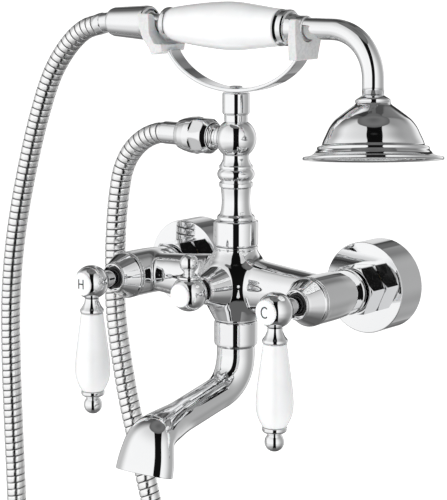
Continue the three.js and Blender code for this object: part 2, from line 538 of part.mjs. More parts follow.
// ---- Hand shower: on its own axis along x, then laid in the forks ----
function buildHandset() {
  const handset = new THREE.Group();
  handset.position.set(0, -BODY_REACH, HANDSET_HEIGHT);
  handset.rotation.set(-rad(HANDSET_ROLL), -rad(HANDSET_PITCH), 0, "YXZ");
  faucet.add(handset);
  const along = (name, profile, material, sides = FINE) =>
    piece(name, rightward(turned(profile, sides)), material, handset);

  along("hose_ferrule_upper", [
    [4.4, -115.7], [6.2, -115.7], [6.2, -80.6], [8.6, -80.6], [8.6, -77.6], [4.4, -77.6],
  ], CHROME);
  along("hose_nut_upper", [
    [6.6, -105.6], [8, -105.4], [9.7, -102.4], [11.3, -75], [10.8, -71.6], [9, -71.2],
    [9, -82.4], [6.6, -82.4],
  ], CHROME);
  along("handset_neck", [
    [4.5, -77.2], [8.5, -77.2], [8.5, -71.6], [NECK_RADIUS, -70.8], [6.3, -66], [NECK_RADIUS, -60],
    [10.6, -56.4], [10.8, -54.6], [10, -52.6], [4.5, -52.6],
  ], CHROME);
  along("handset_grip", [
    [5, -52.2], [10.6, -52.2], [13.2, -34], [15, -17], [15.5, -4],
    [14.8, 10], [13.2, 22.5], [11.7, 36.2], [5, 36.2],
  ], CERAMIC, 20);

  // Elbow: a collar against the grip, then a straight run, the bend and the drop.
  const runEnd = ELBOW_REACH - ELBOW_RADIUS;
  const turn = rad(ELBOW_TURN);
  const bendPoint = (a) => new THREE.Vector3(
    runEnd + ELBOW_RADIUS * Math.sin(a), 0, ELBOW_RADIUS * (Math.cos(a) - 1),
  );
  const bendEnd = bendPoint(turn);
  const drop = new THREE.Vector3(Math.cos(turn), 0, -Math.sin(turn));
  const outletEnd = bendEnd.clone().addScaledVector(drop, 9.6);
  // Centreline from a point on the handset axis round the bend to a distance past its end.
  const bendSteps = 5;
  const elbowLine = (startX, past) => new THREE.CatmullRomCurve3([
    new THREE.Vector3(startX, 0, 0), new THREE.Vector3(60, 0, 0),
    ...Array.from({ length: bendSteps + 1 }, (_, i) => bendPoint((turn * i) / bendSteps)),
    outletEnd.clone().addScaledVector(drop, past),
  ], false, "centripetal");
  const tubeRadius = () => ELBOW_TUBE;
  const boreRadius = () => 4.8;
  const elbowTube = tubeAlong(elbowLine(46, 0), tubeRadius, tubeRadius, 14, 14);
  const collar = rightward(turned([
    [0, 36.6], [11.6, 36.6], [11.6, 37.6], [10.7, 38.6], [11.5, 40.2], [11.4, 42.6],
    [10.6, 44.4], [9.3, 45], [9, 46.4], [7.7, 50.4], [BEAD_RADIUS, 51],
    [BEAD_RADIUS, 56], [0, 56.4],
  ]));
  const bore = tubeAlong(elbowLine(34, 2), boreRadius, boreRadius, 12, 8);
  piece("handset_elbow", cut(join(elbowTube, collar), bore), CHROME, handset);

  // Shower bell on the end of the elbow: heights are distances below its top.
  const bell = new THREE.Group();
  bell.position.copy(outletEnd);
  bell.quaternion.setFromUnitVectors(new THREE.Vector3(0, 0, -1), drop);
  handset.add(bell);
  const hang = (g) => g.rotateX(-Math.PI / 2);
  piece("shower_bell", hang(turned([
    [5, GAP], [7, GAP], [10.4, 3.2], [10.8, 4.9], [14.9, 8.6],
    [18.6, 11.6], [23.2, 15], [28.6, 23.4], [31.5, 29.8],
    [33.4, 30.6], [36, 34.6], [38.8, 36.6], [BELL_RADIUS, 37.4],
    [BELL_RADIUS - 0.2, 39.2], [38, 39.4], [33, 33.8],
    [24.6, 20], [15.6, 12], [5, 6],
  ], WIDE)), CHROME, bell);
  piece("shower_faceplate", hang(turned([
    [0, 35.4], [33.8, 35.4], [37.2, 38.8], [0, 40.2],
  ], WIDE)), PLASTIC, bell);
}
buildHandset();

export default faucet;
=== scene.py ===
"""Wall mounted bath mixer with a hand shower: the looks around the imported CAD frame.

Lengths in the tables below are millimetres, as in the CAD; meshes are made in metres.
The wall is the plane y = 0, the room is at -Y, +Z is up. Hot is at -X and cold at +X.
"""

from math import atan2, cos, degrees, pi, radians, sin, sqrt

import bmesh
import bpy
import numpy as np
from mathutils import Matrix, Vector


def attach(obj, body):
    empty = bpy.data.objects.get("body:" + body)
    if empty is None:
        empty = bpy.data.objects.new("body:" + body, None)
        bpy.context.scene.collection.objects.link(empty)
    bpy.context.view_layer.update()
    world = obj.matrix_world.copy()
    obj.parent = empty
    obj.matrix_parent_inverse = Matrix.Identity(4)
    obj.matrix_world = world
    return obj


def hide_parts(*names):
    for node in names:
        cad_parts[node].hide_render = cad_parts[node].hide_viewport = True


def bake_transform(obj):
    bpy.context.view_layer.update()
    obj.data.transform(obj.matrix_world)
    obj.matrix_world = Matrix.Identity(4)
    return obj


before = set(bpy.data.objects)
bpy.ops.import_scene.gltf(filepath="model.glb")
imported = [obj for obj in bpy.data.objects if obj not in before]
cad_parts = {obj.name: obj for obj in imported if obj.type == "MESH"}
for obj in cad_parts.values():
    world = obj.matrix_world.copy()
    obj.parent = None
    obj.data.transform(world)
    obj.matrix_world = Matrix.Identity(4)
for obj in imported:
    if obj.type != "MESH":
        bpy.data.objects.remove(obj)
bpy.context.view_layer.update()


MM = 0.001
ROOT = "mixer"
BODY_REACH = 60.5          # wall to the axis of the body, the riser and the spout
BALL_HEIGHT = 94.3         # ball on the riser that feeds the hose
HUB_REACH = 117.2          # wall to the centre of a lever hub
DIVERTER_REACH = 108.0     # wall to the centre of the diverter knob
HANDSET_HEIGHT = 166.2     # hand shower axis over the riser
HANDSET_PITCH = 0.25       # degrees
HANDSET_ROLL = 6.9

# ---- Camera, at the photograph's angle ----
CAMERA_PLACE = Vector((0.7702, -1.0348, 0.2299))
CAMERA_AIM = Vector((-0.6166, 0.7697, -0.1654)).normalized()
CAMERA_LENS = 139.75


def make_camera():
    """A camera at the fitted place, level, with a long lens."""
    data = bpy.data.cameras.new("camera")
    data.lens = CAMERA_LENS
    data.sensor_width = 36
    data.clip_end = 100
    camera = bpy.data.objects.new("camera", data)
    bpy.context.scene.collection.objects.link(camera)
    right = CAMERA_AIM.cross(Vector((0, 0, 1))).normalized()
    up = right.cross(CAMERA_AIM)
    turn = Matrix((right, up, -CAMERA_AIM)).transposed().to_4x4()
    camera.matrix_world = Matrix.Translation(CAMERA_PLACE) @ turn
    bpy.context.scene.camera = camera


make_camera()


# ---- Node helpers ----
class Nodes:
    """Short calls for building a node tree."""

    def __init__(self, tree):
        self.tree = tree
        tree.nodes.clear()

    def new(self, kind, settings=(), **inputs):
        """A node with its settings, and its inputs given as values or as sockets."""
        node = self.tree.nodes.new(kind)
        for key, value in dict(settings).items():
            setattr(node, key, value)
        for key, value in inputs.items():
            self.put(node.inputs[key.replace("_", " ")], value)
        return node

    def put(self, socket, value):
        """Gives an input a constant, or links it to another node's output."""
        if isinstance(value, bpy.types.NodeSocket):
            self.tree.links.new(value, socket)
        else:
            socket.default_value = value

    def math(self, operation, a, b=0.0):
        """One Math node."""
        node = self.tree.nodes.new("ShaderNodeMath")
        node.operation = operation
        self.put(node.inputs[0], a)
        self.put(node.inputs[1], b)
        return node.outputs[0]

    def ramp(self, value, stops):
        """A smooth ramp of greys or colours, by (position, level) pairs."""
        node = self.tree.nodes.new("ShaderNodeValToRGB")
        self.put(node.inputs[0], value)
        node.color_ramp.interpolation = "EASE"
        elements = node.color_ramp.elements
        for index, (position, level) in enumerate(stops):
            element = elements[index] if index < 2 else elements.new(position)
            element.position = position
            colour = (level,) * 3 if isinstance(level, float) else level
            element.color = (*colour, 1)
        return node.outputs[0]

    def step(self, value, low, high, to_low=0.0, to_high=1.0):
        """A smooth step of a value from one level to another."""
        node = self.tree.nodes.new("ShaderNodeMapRange")
        node.interpolation_type = "SMOOTHSTEP"
        for name, number in (("From Min", low), ("From Max", high),
                             ("To Min", to_low), ("To Max", to_high)):
            node.inputs[name].default_value = number
        self.put(node.inputs["Value"], value)
        return node.outputs[0]

    def noise(self, scale, detail=3.0, stretch=None):
        """Noise in the object's own metres, stretched along an axis if asked."""
        place = self.new("ShaderNodeTexCoord").outputs["Object"]
        if stretch:
            mapping = self.new("ShaderNodeMapping", Vector=place, Scale=stretch)
            place = mapping.outputs[0]
        node = self.new("ShaderNodeTexNoise", Vector=place, Scale=scale, Detail=detail)
        return node.outputs["Fac"]


# ---- Studio: the world is what the chrome mirrors ----
CAMERA_AZIMUTH = atan2(-CAMERA_AIM.x, CAMERA_AIM.y)
SIDE_LEVELS = (  # elevation in degrees, brightness of the studio's walls
    (-90, 0.14), (-52, 0.44), (-26, 0.92), (-6, 1.15), (20, 1.12), (62, 0.8),
)
CEILING_LEVELS = ((60, 0.11), (74, 0.17), (90, 0.12))


def make_world():
    """White walls under a grey ceiling, with a dark gap where the camera stands, a grey
    flank on the right and thin dark edges behind the object. Azimuths are from the camera,
    positive to its right."""
    world = bpy.data.worlds.new("studio")
    bpy.context.scene.world = world
    world.use_nodes = True
    n = Nodes(world.node_tree)
    way = n.new("ShaderNodeTexCoord").outputs["Generated"]
    turned_way = n.new("ShaderNodeVectorRotate", {"rotation_type": "Z_AXIS"},
                       Vector=way, Angle=-CAMERA_AZIMUTH)
    xyz = n.new("ShaderNodeSeparateXYZ", Vector=turned_way.outputs[0])
    x, y, z = xyz.outputs
    azimuth = n.math("MULTIPLY", n.math("ARCTAN2", x, n.math("MULTIPLY", y, -1.0)), 180 / pi)
    elevation = n.math("MULTIPLY", n.math("ARCSINE", z), 180 / pi)
    spread = n.math("ABSOLUTE", azimuth)
    share = n.math("DIVIDE", n.math("ADD", elevation, 90.0), 180.0)

    def levels(stops):
        return n.ramp(share, [((e + 90) / 180, v) for e, v in stops])

    def product(*values):
        total = values[0]
        for value in values[1:]:
            total = n.math("MULTIPLY", total, value)
        return total

    flank = n.step(azimuth, 24.0, 92.0, 0.88, 0.37)
    flank_end = n.step(azimuth, 112.0, 150.0, 0.0, 0.46)
    left = n.step(azimuth, -124.0, -96.0, 0.55, 1.0)
    edge = n.math("MAXIMUM", n.step(spread, 153.0, 158.0, 1.0, 0.04),
                  n.step(spread, 168.0, 171.0, 0.04, 0.8))
    edge = n.math("MAXIMUM", edge, n.step(n.math("ABSOLUTE", elevation), 20.0, 34.0, 0.0, 0.45))
    dim_low = n.math("MULTIPLY", n.step(elevation, -42.0, -24.0, 0.6, 0.0),
                     n.step(azimuth, 112.0, 142.0))
    dim_high = n.math("MULTIPLY", n.step(elevation, 14.0, 38.0, 0.0, 0.75),
                      n.step(spread, 112.0, 140.0))
    behind = n.math("SUBTRACT", 1.0, n.math("MAXIMUM", dim_low, dim_high))
    walls = product(levels(SIDE_LEVELS), n.math("ADD", flank, flank_end), left, edge, behind)
    gap = n.math("ADD", n.math("ABSOLUTE", x), n.math("MULTIPLY", n.math("MAXIMUM", y, 0.0), 9.0))
    slit = n.step(gap, 0.25, 0.27, 0.006, 1.0)
    walls = n.math("MULTIPLY", walls, slit)
    high = n.step(elevation, 62.0, 64.5)
    low = n.step(elevation, -66.0, -58.0, 1.0, 0.0)
    total = n.new("ShaderNodeMix", {"data_type": "FLOAT"})
    for socket, value in zip(
            (i for i in total.inputs if i.type == "VALUE"),
            (high, walls, levels(CEILING_LEVELS))):
        n.put(socket, value)
    under = n.math("MULTIPLY", low, 0.12)
    level = n.math("MAXIMUM", total.outputs[0], under)
    background = n.new("ShaderNodeBackground", Color=level, Strength=1.0)
    output = n.new("ShaderNodeOutputWorld")
    n.put(output.inputs["Surface"], background.outputs[0])


def make_lamp(name, place, size, power):
    """A big soft lamp that lights the matt surfaces and isn't mirrored."""
    data = bpy.data.lights.new(name, "AREA")
    data.shape = "SQUARE"
    data.size = size
    data.energy = power
    lamp = bpy.data.objects.new(name, data)
    bpy.context.scene.collection.objects.link(lamp)
    lamp.location = place
    lamp.rotation_euler = (-Vector(place)).to_track_quat("-Z", "Y").to_euler()
    lamp.visible_glossy = False
    lamp.visible_camera = False


bpy.context.scene.view_settings.view_transform = "Standard"
make_world()
make_lamp("key_lamp", (-1.2, -2.2, 2.2), 1.8, 42)
make_lamp("fill_lamp", (2.4, -1.6, 1.2), 1.6, 14)


# ---- Materials ----
def material(name, build):
    """A node material; build gets the helper and the Principled shader."""
    made = bpy.data.materials.new(name)
    made.use_nodes = True
    n = Nodes(made.node_tree)
    shader = n.new("ShaderNodeBsdfPrincipled")
    output = n.new("ShaderNodeOutputMaterial")
    n.put(output.inputs["Surface"], shader.outputs[0])
    build(n, shader)
    return made


SOFTER, HARDER = 0.3, 0.7   # the part of a noise's range that a look varies over


def surface(n, shader, colours, clouds, rough, glints, bump, relief=None, depth=0.0002):
    """Colour, gloss and relief that each vary over the surface with a noise."""
    dark, light = colours
    n.put(shader.inputs["Base Color"], n.ramp(clouds, [(SOFTER, dark), (HARDER, light)]))
    n.put(shader.inputs["Roughness"], n.step(glints, SOFTER, HARDER, *rough))
    if bump:
        bumped = n.new("ShaderNodeBump", Height=relief or glints, Strength=bump, Distance=depth)
        n.put(shader.inputs["Normal"], bumped.outputs[0])


def metal_look(colour_low, colour_high, rough_low, rough_high, grain, stretch=None, bump=0.0):
    """A metal whose colour and gloss vary with a grain, given in waves per metre."""
    def build(n, shader):
        shader.inputs["Metallic"].default_value = 1
        waves = n.noise(grain, 4.0, stretch)
        surface(n, shader, (colour_low, colour_high), n.noise(grain / 8),
                (rough_low, rough_high), waves, bump)
    return build


def ceramic_look(n, shader):
    """Glazed porcelain: slightly uneven white under a clear glossy coat."""
    surface(n, shader, ((0.79, 0.795, 0.8), (0.83, 0.835, 0.84)), n.noise(55.0),
            (0.12, 0.2), n.noise(240.0), 0.05, n.noise(90.0, 1.0), 0.0003)
    shader.inputs["Coat Weight"].default_value = 0.8
    shader.inputs["Coat Roughness"].default_value = 0.03
    shader.inputs["Subsurface Weight"].default_value = 0.08
    shader.inputs["Subsurface Scale"].default_value = 0.002


def milky_look(n, shader):
    """Cloudy white moulded plastic that light sinks into."""
    surface(n, shader, ((0.6, 0.61, 0.615), (0.63, 0.64, 0.645)), n.noise(120.0),
            (0.22, 0.36), n.noise(420.0), 0.03, n.noise(900.0))
    shader.inputs["Subsurface Weight"].default_value = 0.3
    shader.inputs["Subsurface Scale"].default_value = 0.004


def dull_look(dark, light, rough, grain):
    """Moulded rubber or plastic with a fine grain."""
    def build(n, shader):
        surface(n, shader, (dark, light), n.noise(grain / 6), (rough, rough + 0.15),
                n.noise(grain), 0.15)
    return build


LOOKS = {
    "chrome": metal_look((0.9, 0.905, 0.915), (0.93, 0.935, 0.94), 0.025, 0.045, 160.0),
    "brass": metal_look((0.72, 0.53, 0.24), (0.82, 0.64, 0.34), 0.26, 0.42, 900.0,
                        (1, 1, 1), 0.3),
    "steel": metal_look((0.6, 0.61, 0.62), (0.72, 0.73, 0.74), 0.2, 0.36, 700.0,
                        (1, 1, 6), 0.2),
    "hose_metal": metal_look((0.97, 0.97, 0.97), (0.995, 0.995, 0.995), 0.16, 0.25, 420.0,
                             (1, 1, 1), 0.3),
    # painted shade: a near-black copy of the hose metal for the faces deep in its groove
    "hose_groove_painted_shade": metal_look((0.05, 0.05, 0.052), (0.09, 0.09, 0.092), 0.4, 0.6, 420.0),
    "ceramic": ceramic_look,
    "translucent_plastic": milky_look,
    "perforated_plastic": dull_look((0.78, 0.785, 0.78), (0.86, 0.865, 0.86), 0.3, 900.0),
    "rubber": dull_look((0.018, 0.018, 0.019), (0.035, 0.035, 0.036), 0.55, 1400.0),
    "letter_enamel": dull_look((0.03, 0.032, 0.036), (0.05, 0.052, 0.056), 0.25, 1200.0),
    "nozzle_rubber": dull_look((0.3, 0.305, 0.31), (0.38, 0.385, 0.39), 0.45, 1200.0),
    "floor_paper": dull_look((0.9, 0.9, 0.9), (0.92, 0.92, 0.92), 0.6, 3.0),
}
MATERIALS = {name: material(name, build) for name, build in LOOKS.items()}


# ---- Profiles ----
def rounded(points, size=0.35, steps=4, closed=False):
    """A [radius, height] outline with each corner turned into a small curve."""
    points = np.array(points, float)
    count = len(points)
    out = []
    for i, p in enumerate(points):
        if not closed and i in (0, count - 1):
            out.append(p)
            continue
        before = points[i - 1] - p
        after = points[(i + 1) % count] - p
        a, b = np.linalg.norm(before), np.linalg.norm(after)
        turn = abs(degrees(atan2(before[0] * after[1] - before[1] * after[0], before @ after)))
        if turn > 165:
            out.append(p)
            continue
        start = p + before / a * min(size, 0.42 * a)
        end = p + after / b * min(size, 0.42 * b)
        for t in np.linspace(0, 1, steps + 1):
            out.append((1 - t) ** 2 * start + 2 * t * (1 - t) * p + t * t * end)
    return np.array(out)


def ring(points, size=0.3, steps=4):
    """The closed outline of a ring, with each corner turned into a small curve."""
    return rounded(points, size, steps, closed=True)


def spline(points, per=6):
    """Points along a smooth curve through the given ones, in two or three dimensions."""
    points = np.array(points, float)
    padded = np.vstack([2 * points[0] - points[1], points, 2 * points[-1] - points[-2]])
    out = []
    for i in range(1, len(padded) - 2):
        p0, p1, p2, p3 = padded[i - 1:i + 3]
        d0, d1, d2 = (sqrt(np.linalg.norm(b - a)) for a, b in ((p0, p1), (p1, p2), (p2, p3)))
        m1 = ((p1 - p0) / d0 - (p2 - p0) / (d0 + d1) + (p2 - p1) / d1) * d1
        m2 = ((p2 - p1) / d1 - (p3 - p1) / (d1 + d2) + (p3 - p2) / d2) * d1
        for t in np.linspace(0, 1, per, endpoint=False):
            out.append((2 * t ** 3 - 3 * t * t + 1) * p1 + (t ** 3 - 2 * t * t + t) * m1
                       + (3 * t * t - 2 * t ** 3) * p2 + (t ** 3 - t * t) * m2)
    out.append(padded[-2])
    return np.array(out)


def arc(radius, height, start, end, steps=18):
    """[radius, height] points of a ball centred on the axis, by angles in degrees."""
    angles = np.radians(np.linspace(start, end, steps + 1))
    return np.stack([radius * np.cos(angles), height + radius * np.sin(angles)], 1)


def chain(*runs):
    """Several runs of outline points as one."""
    return np.vstack([np.atleast_2d(np.array(run, float)) for run in runs])


# ---- Places: frames whose z axis is the axis of a turned piece ----
def place(origin, axis):
    """A frame at origin (in mm) with its z axis along axis, returned in mm."""
    z = Vector(axis).normalized()
    x = Vector((0, 0, 1)) if abs(z.z) < 0.9 else Vector((1, 0, 0))
    x = (x - z * x.dot(z)).normalized()
    turn = Matrix((x, z.cross(x), z)).transposed().to_4x4()
    return Matrix.Translation(Vector(origin)) @ turn


def from_wall(x, z=0.0):
    """Heights are distances from the wall."""
    return place((x, 0, z), (0, -1, 0))


def upright(x=0.0, y=-BODY_REACH, z=0.0):
    """Heights run up, from z."""
    return place((x, y, z), (0, 0, 1))


HANDSET = (Matrix.Translation((0, -BODY_REACH, HANDSET_HEIGHT))
           @ Matrix.Rotation(-radians(HANDSET_PITCH), 4, "Y")
           @ Matrix.Rotation(-radians(HANDSET_ROLL), 4, "X"))
ALONG_HANDSET = HANDSET @ place((0, 0, 0), (1, 0, 0))
TO_LEFT = place((0, -BODY_REACH, BALL_HEIGHT), (-1, 0, 0))


# ---- Meshes ----
def grid_faces(rows, columns, close_rows=False, offset=0):
    """Quads of a grid whose columns go round; close_rows also joins the last row to the first."""
    i, j = np.meshgrid(np.arange(rows if close_rows else rows - 1), np.arange(columns),
                       indexing="ij")
    up, over = (i + 1) % rows, (j + 1) % columns
    quads = np.stack([i * columns + j, i * columns + over,
                      up * columns + over, up * columns + j], -1)
    return (quads.reshape(-1, 4) + offset).tolist()


def turned(outline, sides=96, frame_at=None, shape=None):
    """Vertices and faces of a turned solid. An outline that starts off the axis is a ring.
    shape(angle, radius, height) may change the radius round the axis."""
    outline = np.array(outline, float)
    angles = np.linspace(0, 2 * pi, sides, endpoint=False)
    radius = np.repeat(outline[:, :1], sides, 1)
    height = np.repeat(outline[:, 1:], sides, 1)
    if shape is not None:
        radius = shape(angles[None, :], radius, height)
    verts = np.stack([radius * np.cos(angles), radius * np.sin(angles), height], -1)
    ring = outline[0, 0] > 1e-6
    return moved(verts.reshape(-1, 3), frame_at), grid_faces(len(outline), sides, ring)


def moved(verts, frame_at):
    """Vertices taken into a place."""
    if frame_at is None:
        return verts
    m = np.array(frame_at)
    return verts @ m[:3, :3].T + m[:3, 3]


def joined(*parts):
    """Several (vertices, faces) as one."""
    verts, faces, count = [], [], 0
    for part_verts, part_faces in parts:
        verts.append(part_verts)
        faces += [[index + count for index in face] for face in part_faces]
        count += len(part_verts)
    return np.vstack(verts), faces


def piece(name, shape, body, slot, replaced=(), look=None, weighted=True, sharp=None):
    """A named piece of the model from (vertices in mm, faces). Each face's share in a
    vertex's normal goes by its area, so that flats stay flat beside small curves."""
    verts, faces = shape
    mesh = bpy.data.meshes.new(name)
    mesh.from_pydata((np.array(verts) * MM).tolist(), [], faces)
    work = bmesh.new()
    work.from_mesh(mesh)
    bmesh.ops.remove_doubles(work, verts=work.verts, dist=2e-6)
    bmesh.ops.dissolve_degenerate(work, edges=work.edges, dist=1e-7)
    bmesh.ops.recalc_face_normals(work, faces=work.faces)
    work.to_mesh(mesh)
    work.free()
    mesh.polygons.foreach_set("use_smooth", [True] * len(mesh.polygons))
    if sharp is not None:
        mesh.set_sharp_from_angle(angle=radians(sharp))
    elif weighted:
        mesh.normals_split_custom_set_from_vertices(area_normals(mesh))
    made = bpy.data.objects.new(name, mesh)
    bpy.context.scene.collection.objects.link(made)
    mesh.materials.append(MATERIALS[look or slot])
    if body:
        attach(made, body)
    if replaced:
        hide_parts(*([replaced] if isinstance(replaced, str) else replaced))
    return made


def area_normals(mesh):
    """A normal for each vertex, weighted by the areas of its faces."""
    normals = np.zeros((len(mesh.vertices), 3))
    for polygon in mesh.polygons:
        normals[list(polygon.vertices)] += np.array(polygon.normal) * polygon.area
    lengths = np.linalg.norm(normals, axis=1, keepdims=True)
    return (normals / np.maximum(lengths, 1e-12)).tolist()


def frames_along(points):
    """Unit tangents, and two unit normals that turn as little as they can."""
    points = np.array(points, float)
    tangents = np.gradient(points, axis=0)
    tangents /= np.linalg.norm(tangents, axis=1, keepdims=True)
    start = np.array([0.0, 1.0, 0.0]) if abs(tangents[0][1]) < 0.9 else np.array([1.0, 0, 0])
    normals = []
    for tangent in tangents:
        start = start - tangent * (start @ tangent)
        start = start / np.linalg.norm(start)
        normals.append(start)
    normals = np.array(normals)
    return tangents, normals, np.cross(tangents, normals)


def flat_frames(tangents, normal):
    """Frames along a line that lies in the plane across one normal."""
    normals = np.tile(normal, (len(tangents), 1))
    return tangents, normals, np.cross(tangents, normals)


def swept(points, radii, sides=64, frame_at=None, ring=False, frames=None, depths=None):
    """Rings of the given radii along a line, oval if depths differ from them; a ring tube
    also joins its last ring to the first, and any other has flat ends."""
    points = np.array(points, float)
    _, normals, binormals = frames or frames_along(points)
    angles = np.linspace(0, 2 * pi, sides, endpoint=False)
    widths = np.array(radii, float)[:, None, None]
    depths = widths if depths is None else np.array(depths, float)[:, None, None]
    verts = (points[:, None] + widths * normals[:, None] * np.cos(angles)[None, :, None]
             + depths * binormals[:, None] * np.sin(angles)[None, :, None])
    faces = grid_faces(len(points), sides, ring)
    if not ring:
        faces.append(list(range(sides))[::-1])
        faces.append([(len(points) - 1) * sides + k for k in range(sides)])
    return moved(verts.reshape(-1, 3), frame_at), faces


def lathe(name, outline, at, body=ROOT, slot="chrome", sides=96, shape=None, **more):
    """A turned piece that replaces the CAD node of that name."""
    piece(f"{name}_visual", turned(outline, sides, at, shape), body, slot, name, **more)


# ---- Hose: first, because its route decides whether the model fits ----
HOSE_RADIUS = 7.0
BAND_PITCH = 4.9
HOSE_ROUTE = [  # the CAD's own points, x and z
    (-59.8, 94.2), (-66, 93.4), (-75.8, 89.8), (-84.6, 83.9), (-91.9, 76), (-97.2, 66),
    (-100.2, 54), (-103, 36), (-105.2, 5), (-104.6, -35), (-95, -88),
    (-84.5, -125), (-73, -165), (-61, -210), (-50, -257), (-41, -305),
    (-36, -352), (-37, -399), (-47, -443), (-67, -481), (-95, -507),
    (-126, -515), (-156, -504), (-180, -477), (-195, -438), (-201, -390),
    (-203, -330), (-203.5, -255), (-204, -185), (-206, -125), (-207, -80),
    (-206.4, -40), (-203.2, -8), (-197.2, 24), (-187, 62), (-175, 98),
    (-161, 129), (-145.5, 148.5), (-130.5, 159.6), (-117.6, 163.6),
]
BAND_PHASES = (0.0, 0.075, 0.09, 0.16, 0.4, 0.66, 0.92, 0.985)
BAND_DEPTHS = (0.9, 0.9, 0.2, 0.04, 0.0, 0.0, 0.05, 0.22)


def helical_tube(points, radius, pitch, phases, depths, turn_steps):
    """A tube whose surface is a band wound round a line: strands run along the band at its
    phases, each sunk by its depth."""
    points = np.array(points, float)
    lengths = np.concatenate([[0], np.cumsum(np.linalg.norm(np.diff(points, axis=0), axis=1))])
    _, normals, binormals = frames_along(points)

    def at(values, s):
        return np.stack([np.interp(s, lengths, values[:, k]) for k in range(3)], -1)

    turns = lengths[-1] / pitch
    count = int((turns - 1) * turn_steps)
    step = np.arange(count)
    strands = []
    for phase, depth in zip(phases, depths):
        s = pitch * (step / turn_steps + phase)
        angle = 2 * pi * step / turn_steps
        out = at(normals, s) * np.cos(angle)[:, None] + at(binormals, s) * np.sin(angle)[:, None]
        strands.append(at(points, s) + out * (radius - depth))
    verts = np.stack(strands, 1).reshape(-1, 3)
    strand_count = len(phases)
    faces = []
    for k in range(strand_count):
        last = k == strand_count - 1
        n = np.arange(count - 1 - (turn_steps if last else 0))
        a = n * strand_count + k
        b = (n + turn_steps) * strand_count if last else a + 1
        faces.append(np.stack([a, a + strand_count, b + strand_count, b], -1))
    return verts, np.vstack(faces).tolist()


def make_hose():
    """The metal hose, from the outlet down in a loop and up to the hand shower, with painted shade:
    the faces deep in its groove get a near-black metal.
    """
    route = [(x, -BODY_REACH, z) for x, z in HOSE_ROUTE]
    line = spline(route, 16)
    tucked = np.vstack([line[0] + (5.2, 0, 0), line, line[-1] + (4.8, 0, 1.2)])
    verts, faces = helical_tube(tucked, HOSE_RADIUS, BAND_PITCH, BAND_PHASES, BAND_DEPTHS, 24)
    core = swept(line[::2], np.full(len(line[::2]), HOSE_RADIUS - 0.9), 16)
    hose = piece("hose_visual", joined((verts, faces), core), None, "hose_metal",
                 "shower_hose", weighted=False)
    # Painted shade: faces nearer the hose's line than half the groove's depth take the near-black
    # metal.
    hose.data.materials.append(MATERIALS["hose_groove_painted_shade"])
    painted_shade_radius = (HOSE_RADIUS - BAND_DEPTHS[0] / 2) * MM
    line_m = line * MM
    for polygon in hose.data.polygons:
        nearest = np.min(np.linalg.norm(line_m - np.array(polygon.center), axis=1))
        polygon.material_index = int(nearest < painted_shade_radius)
    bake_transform(hose)


make_hose()


# ---- Supplies: wall connector, escutcheon, union, valve and its lever ----
HEXAGON_TURN = radians(5.5)


def hexagon(flats, low, high, soft=1.2):
    """A shape that trims a turned piece to a hexagon between two heights."""
    def trim(angle, radius, height):
        sector = (angle - HEXAGON_TURN + pi / 6) % (pi / 3) - pi / 6
        outside = np.clip(np.maximum(low - height, height - high) / soft, 0, 1)
        limit = flats / 2 / np.cos(sector) + outside ** 2 * 8
        return np.minimum(radius, limit)
    return trim


def even(outline, gap=0.4):
    """The same outline with no step longer than gap."""
    out = [outline[0]]
    for a, b in zip(outline[:-1], outline[1:]):
        count = max(1, int(np.ceil(np.linalg.norm(b - a) / gap)))
        out += [a + (b - a) * k / count for k in range(1, count + 1)]
    return np.array(out)


def flat_letter(strokes, width, depth):
    """A letter from polyline strokes in the x-z plane, each a thin bar with square ends."""
    parts = []
    for stroke in strokes:
        points = np.array(stroke, float)
        tangent = np.gradient(points, axis=0)
        tangent /= np.linalg.norm(tangent, axis=1, keepdims=True)
        side = np.stack([tangent[:, 1], -tangent[:, 0]], 1) * width / 2
        left, right = points - side, points + side
        loops = np.stack([
            np.column_stack([left, np.zeros(len(points))]),
            np.column_stack([right, np.zeros(len(points))]),
            np.column_stack([right, np.full(len(points), depth)]),
            np.column_stack([left, np.full(len(points), depth)]),
        ], 1)
        faces = grid_faces(len(points), 4)
        faces += [[3, 2, 1, 0], [len(points) * 4 - 4 + k for k in range(4)]]
        parts.append((loops.reshape(-1, 3), faces))
    return joined(*parts)


LETTER_H = [
    [(-1.9, -3.1), (-1.9, 3.1)], [(1.9, -3.1), (1.9, 3.1)], [(-1.9, 0), (1.9, 0)],
]
LETTER_C = [[(2.6 * cos(a), 3.2 * sin(a)) for a in np.radians(np.linspace(48, 312, 28))]]


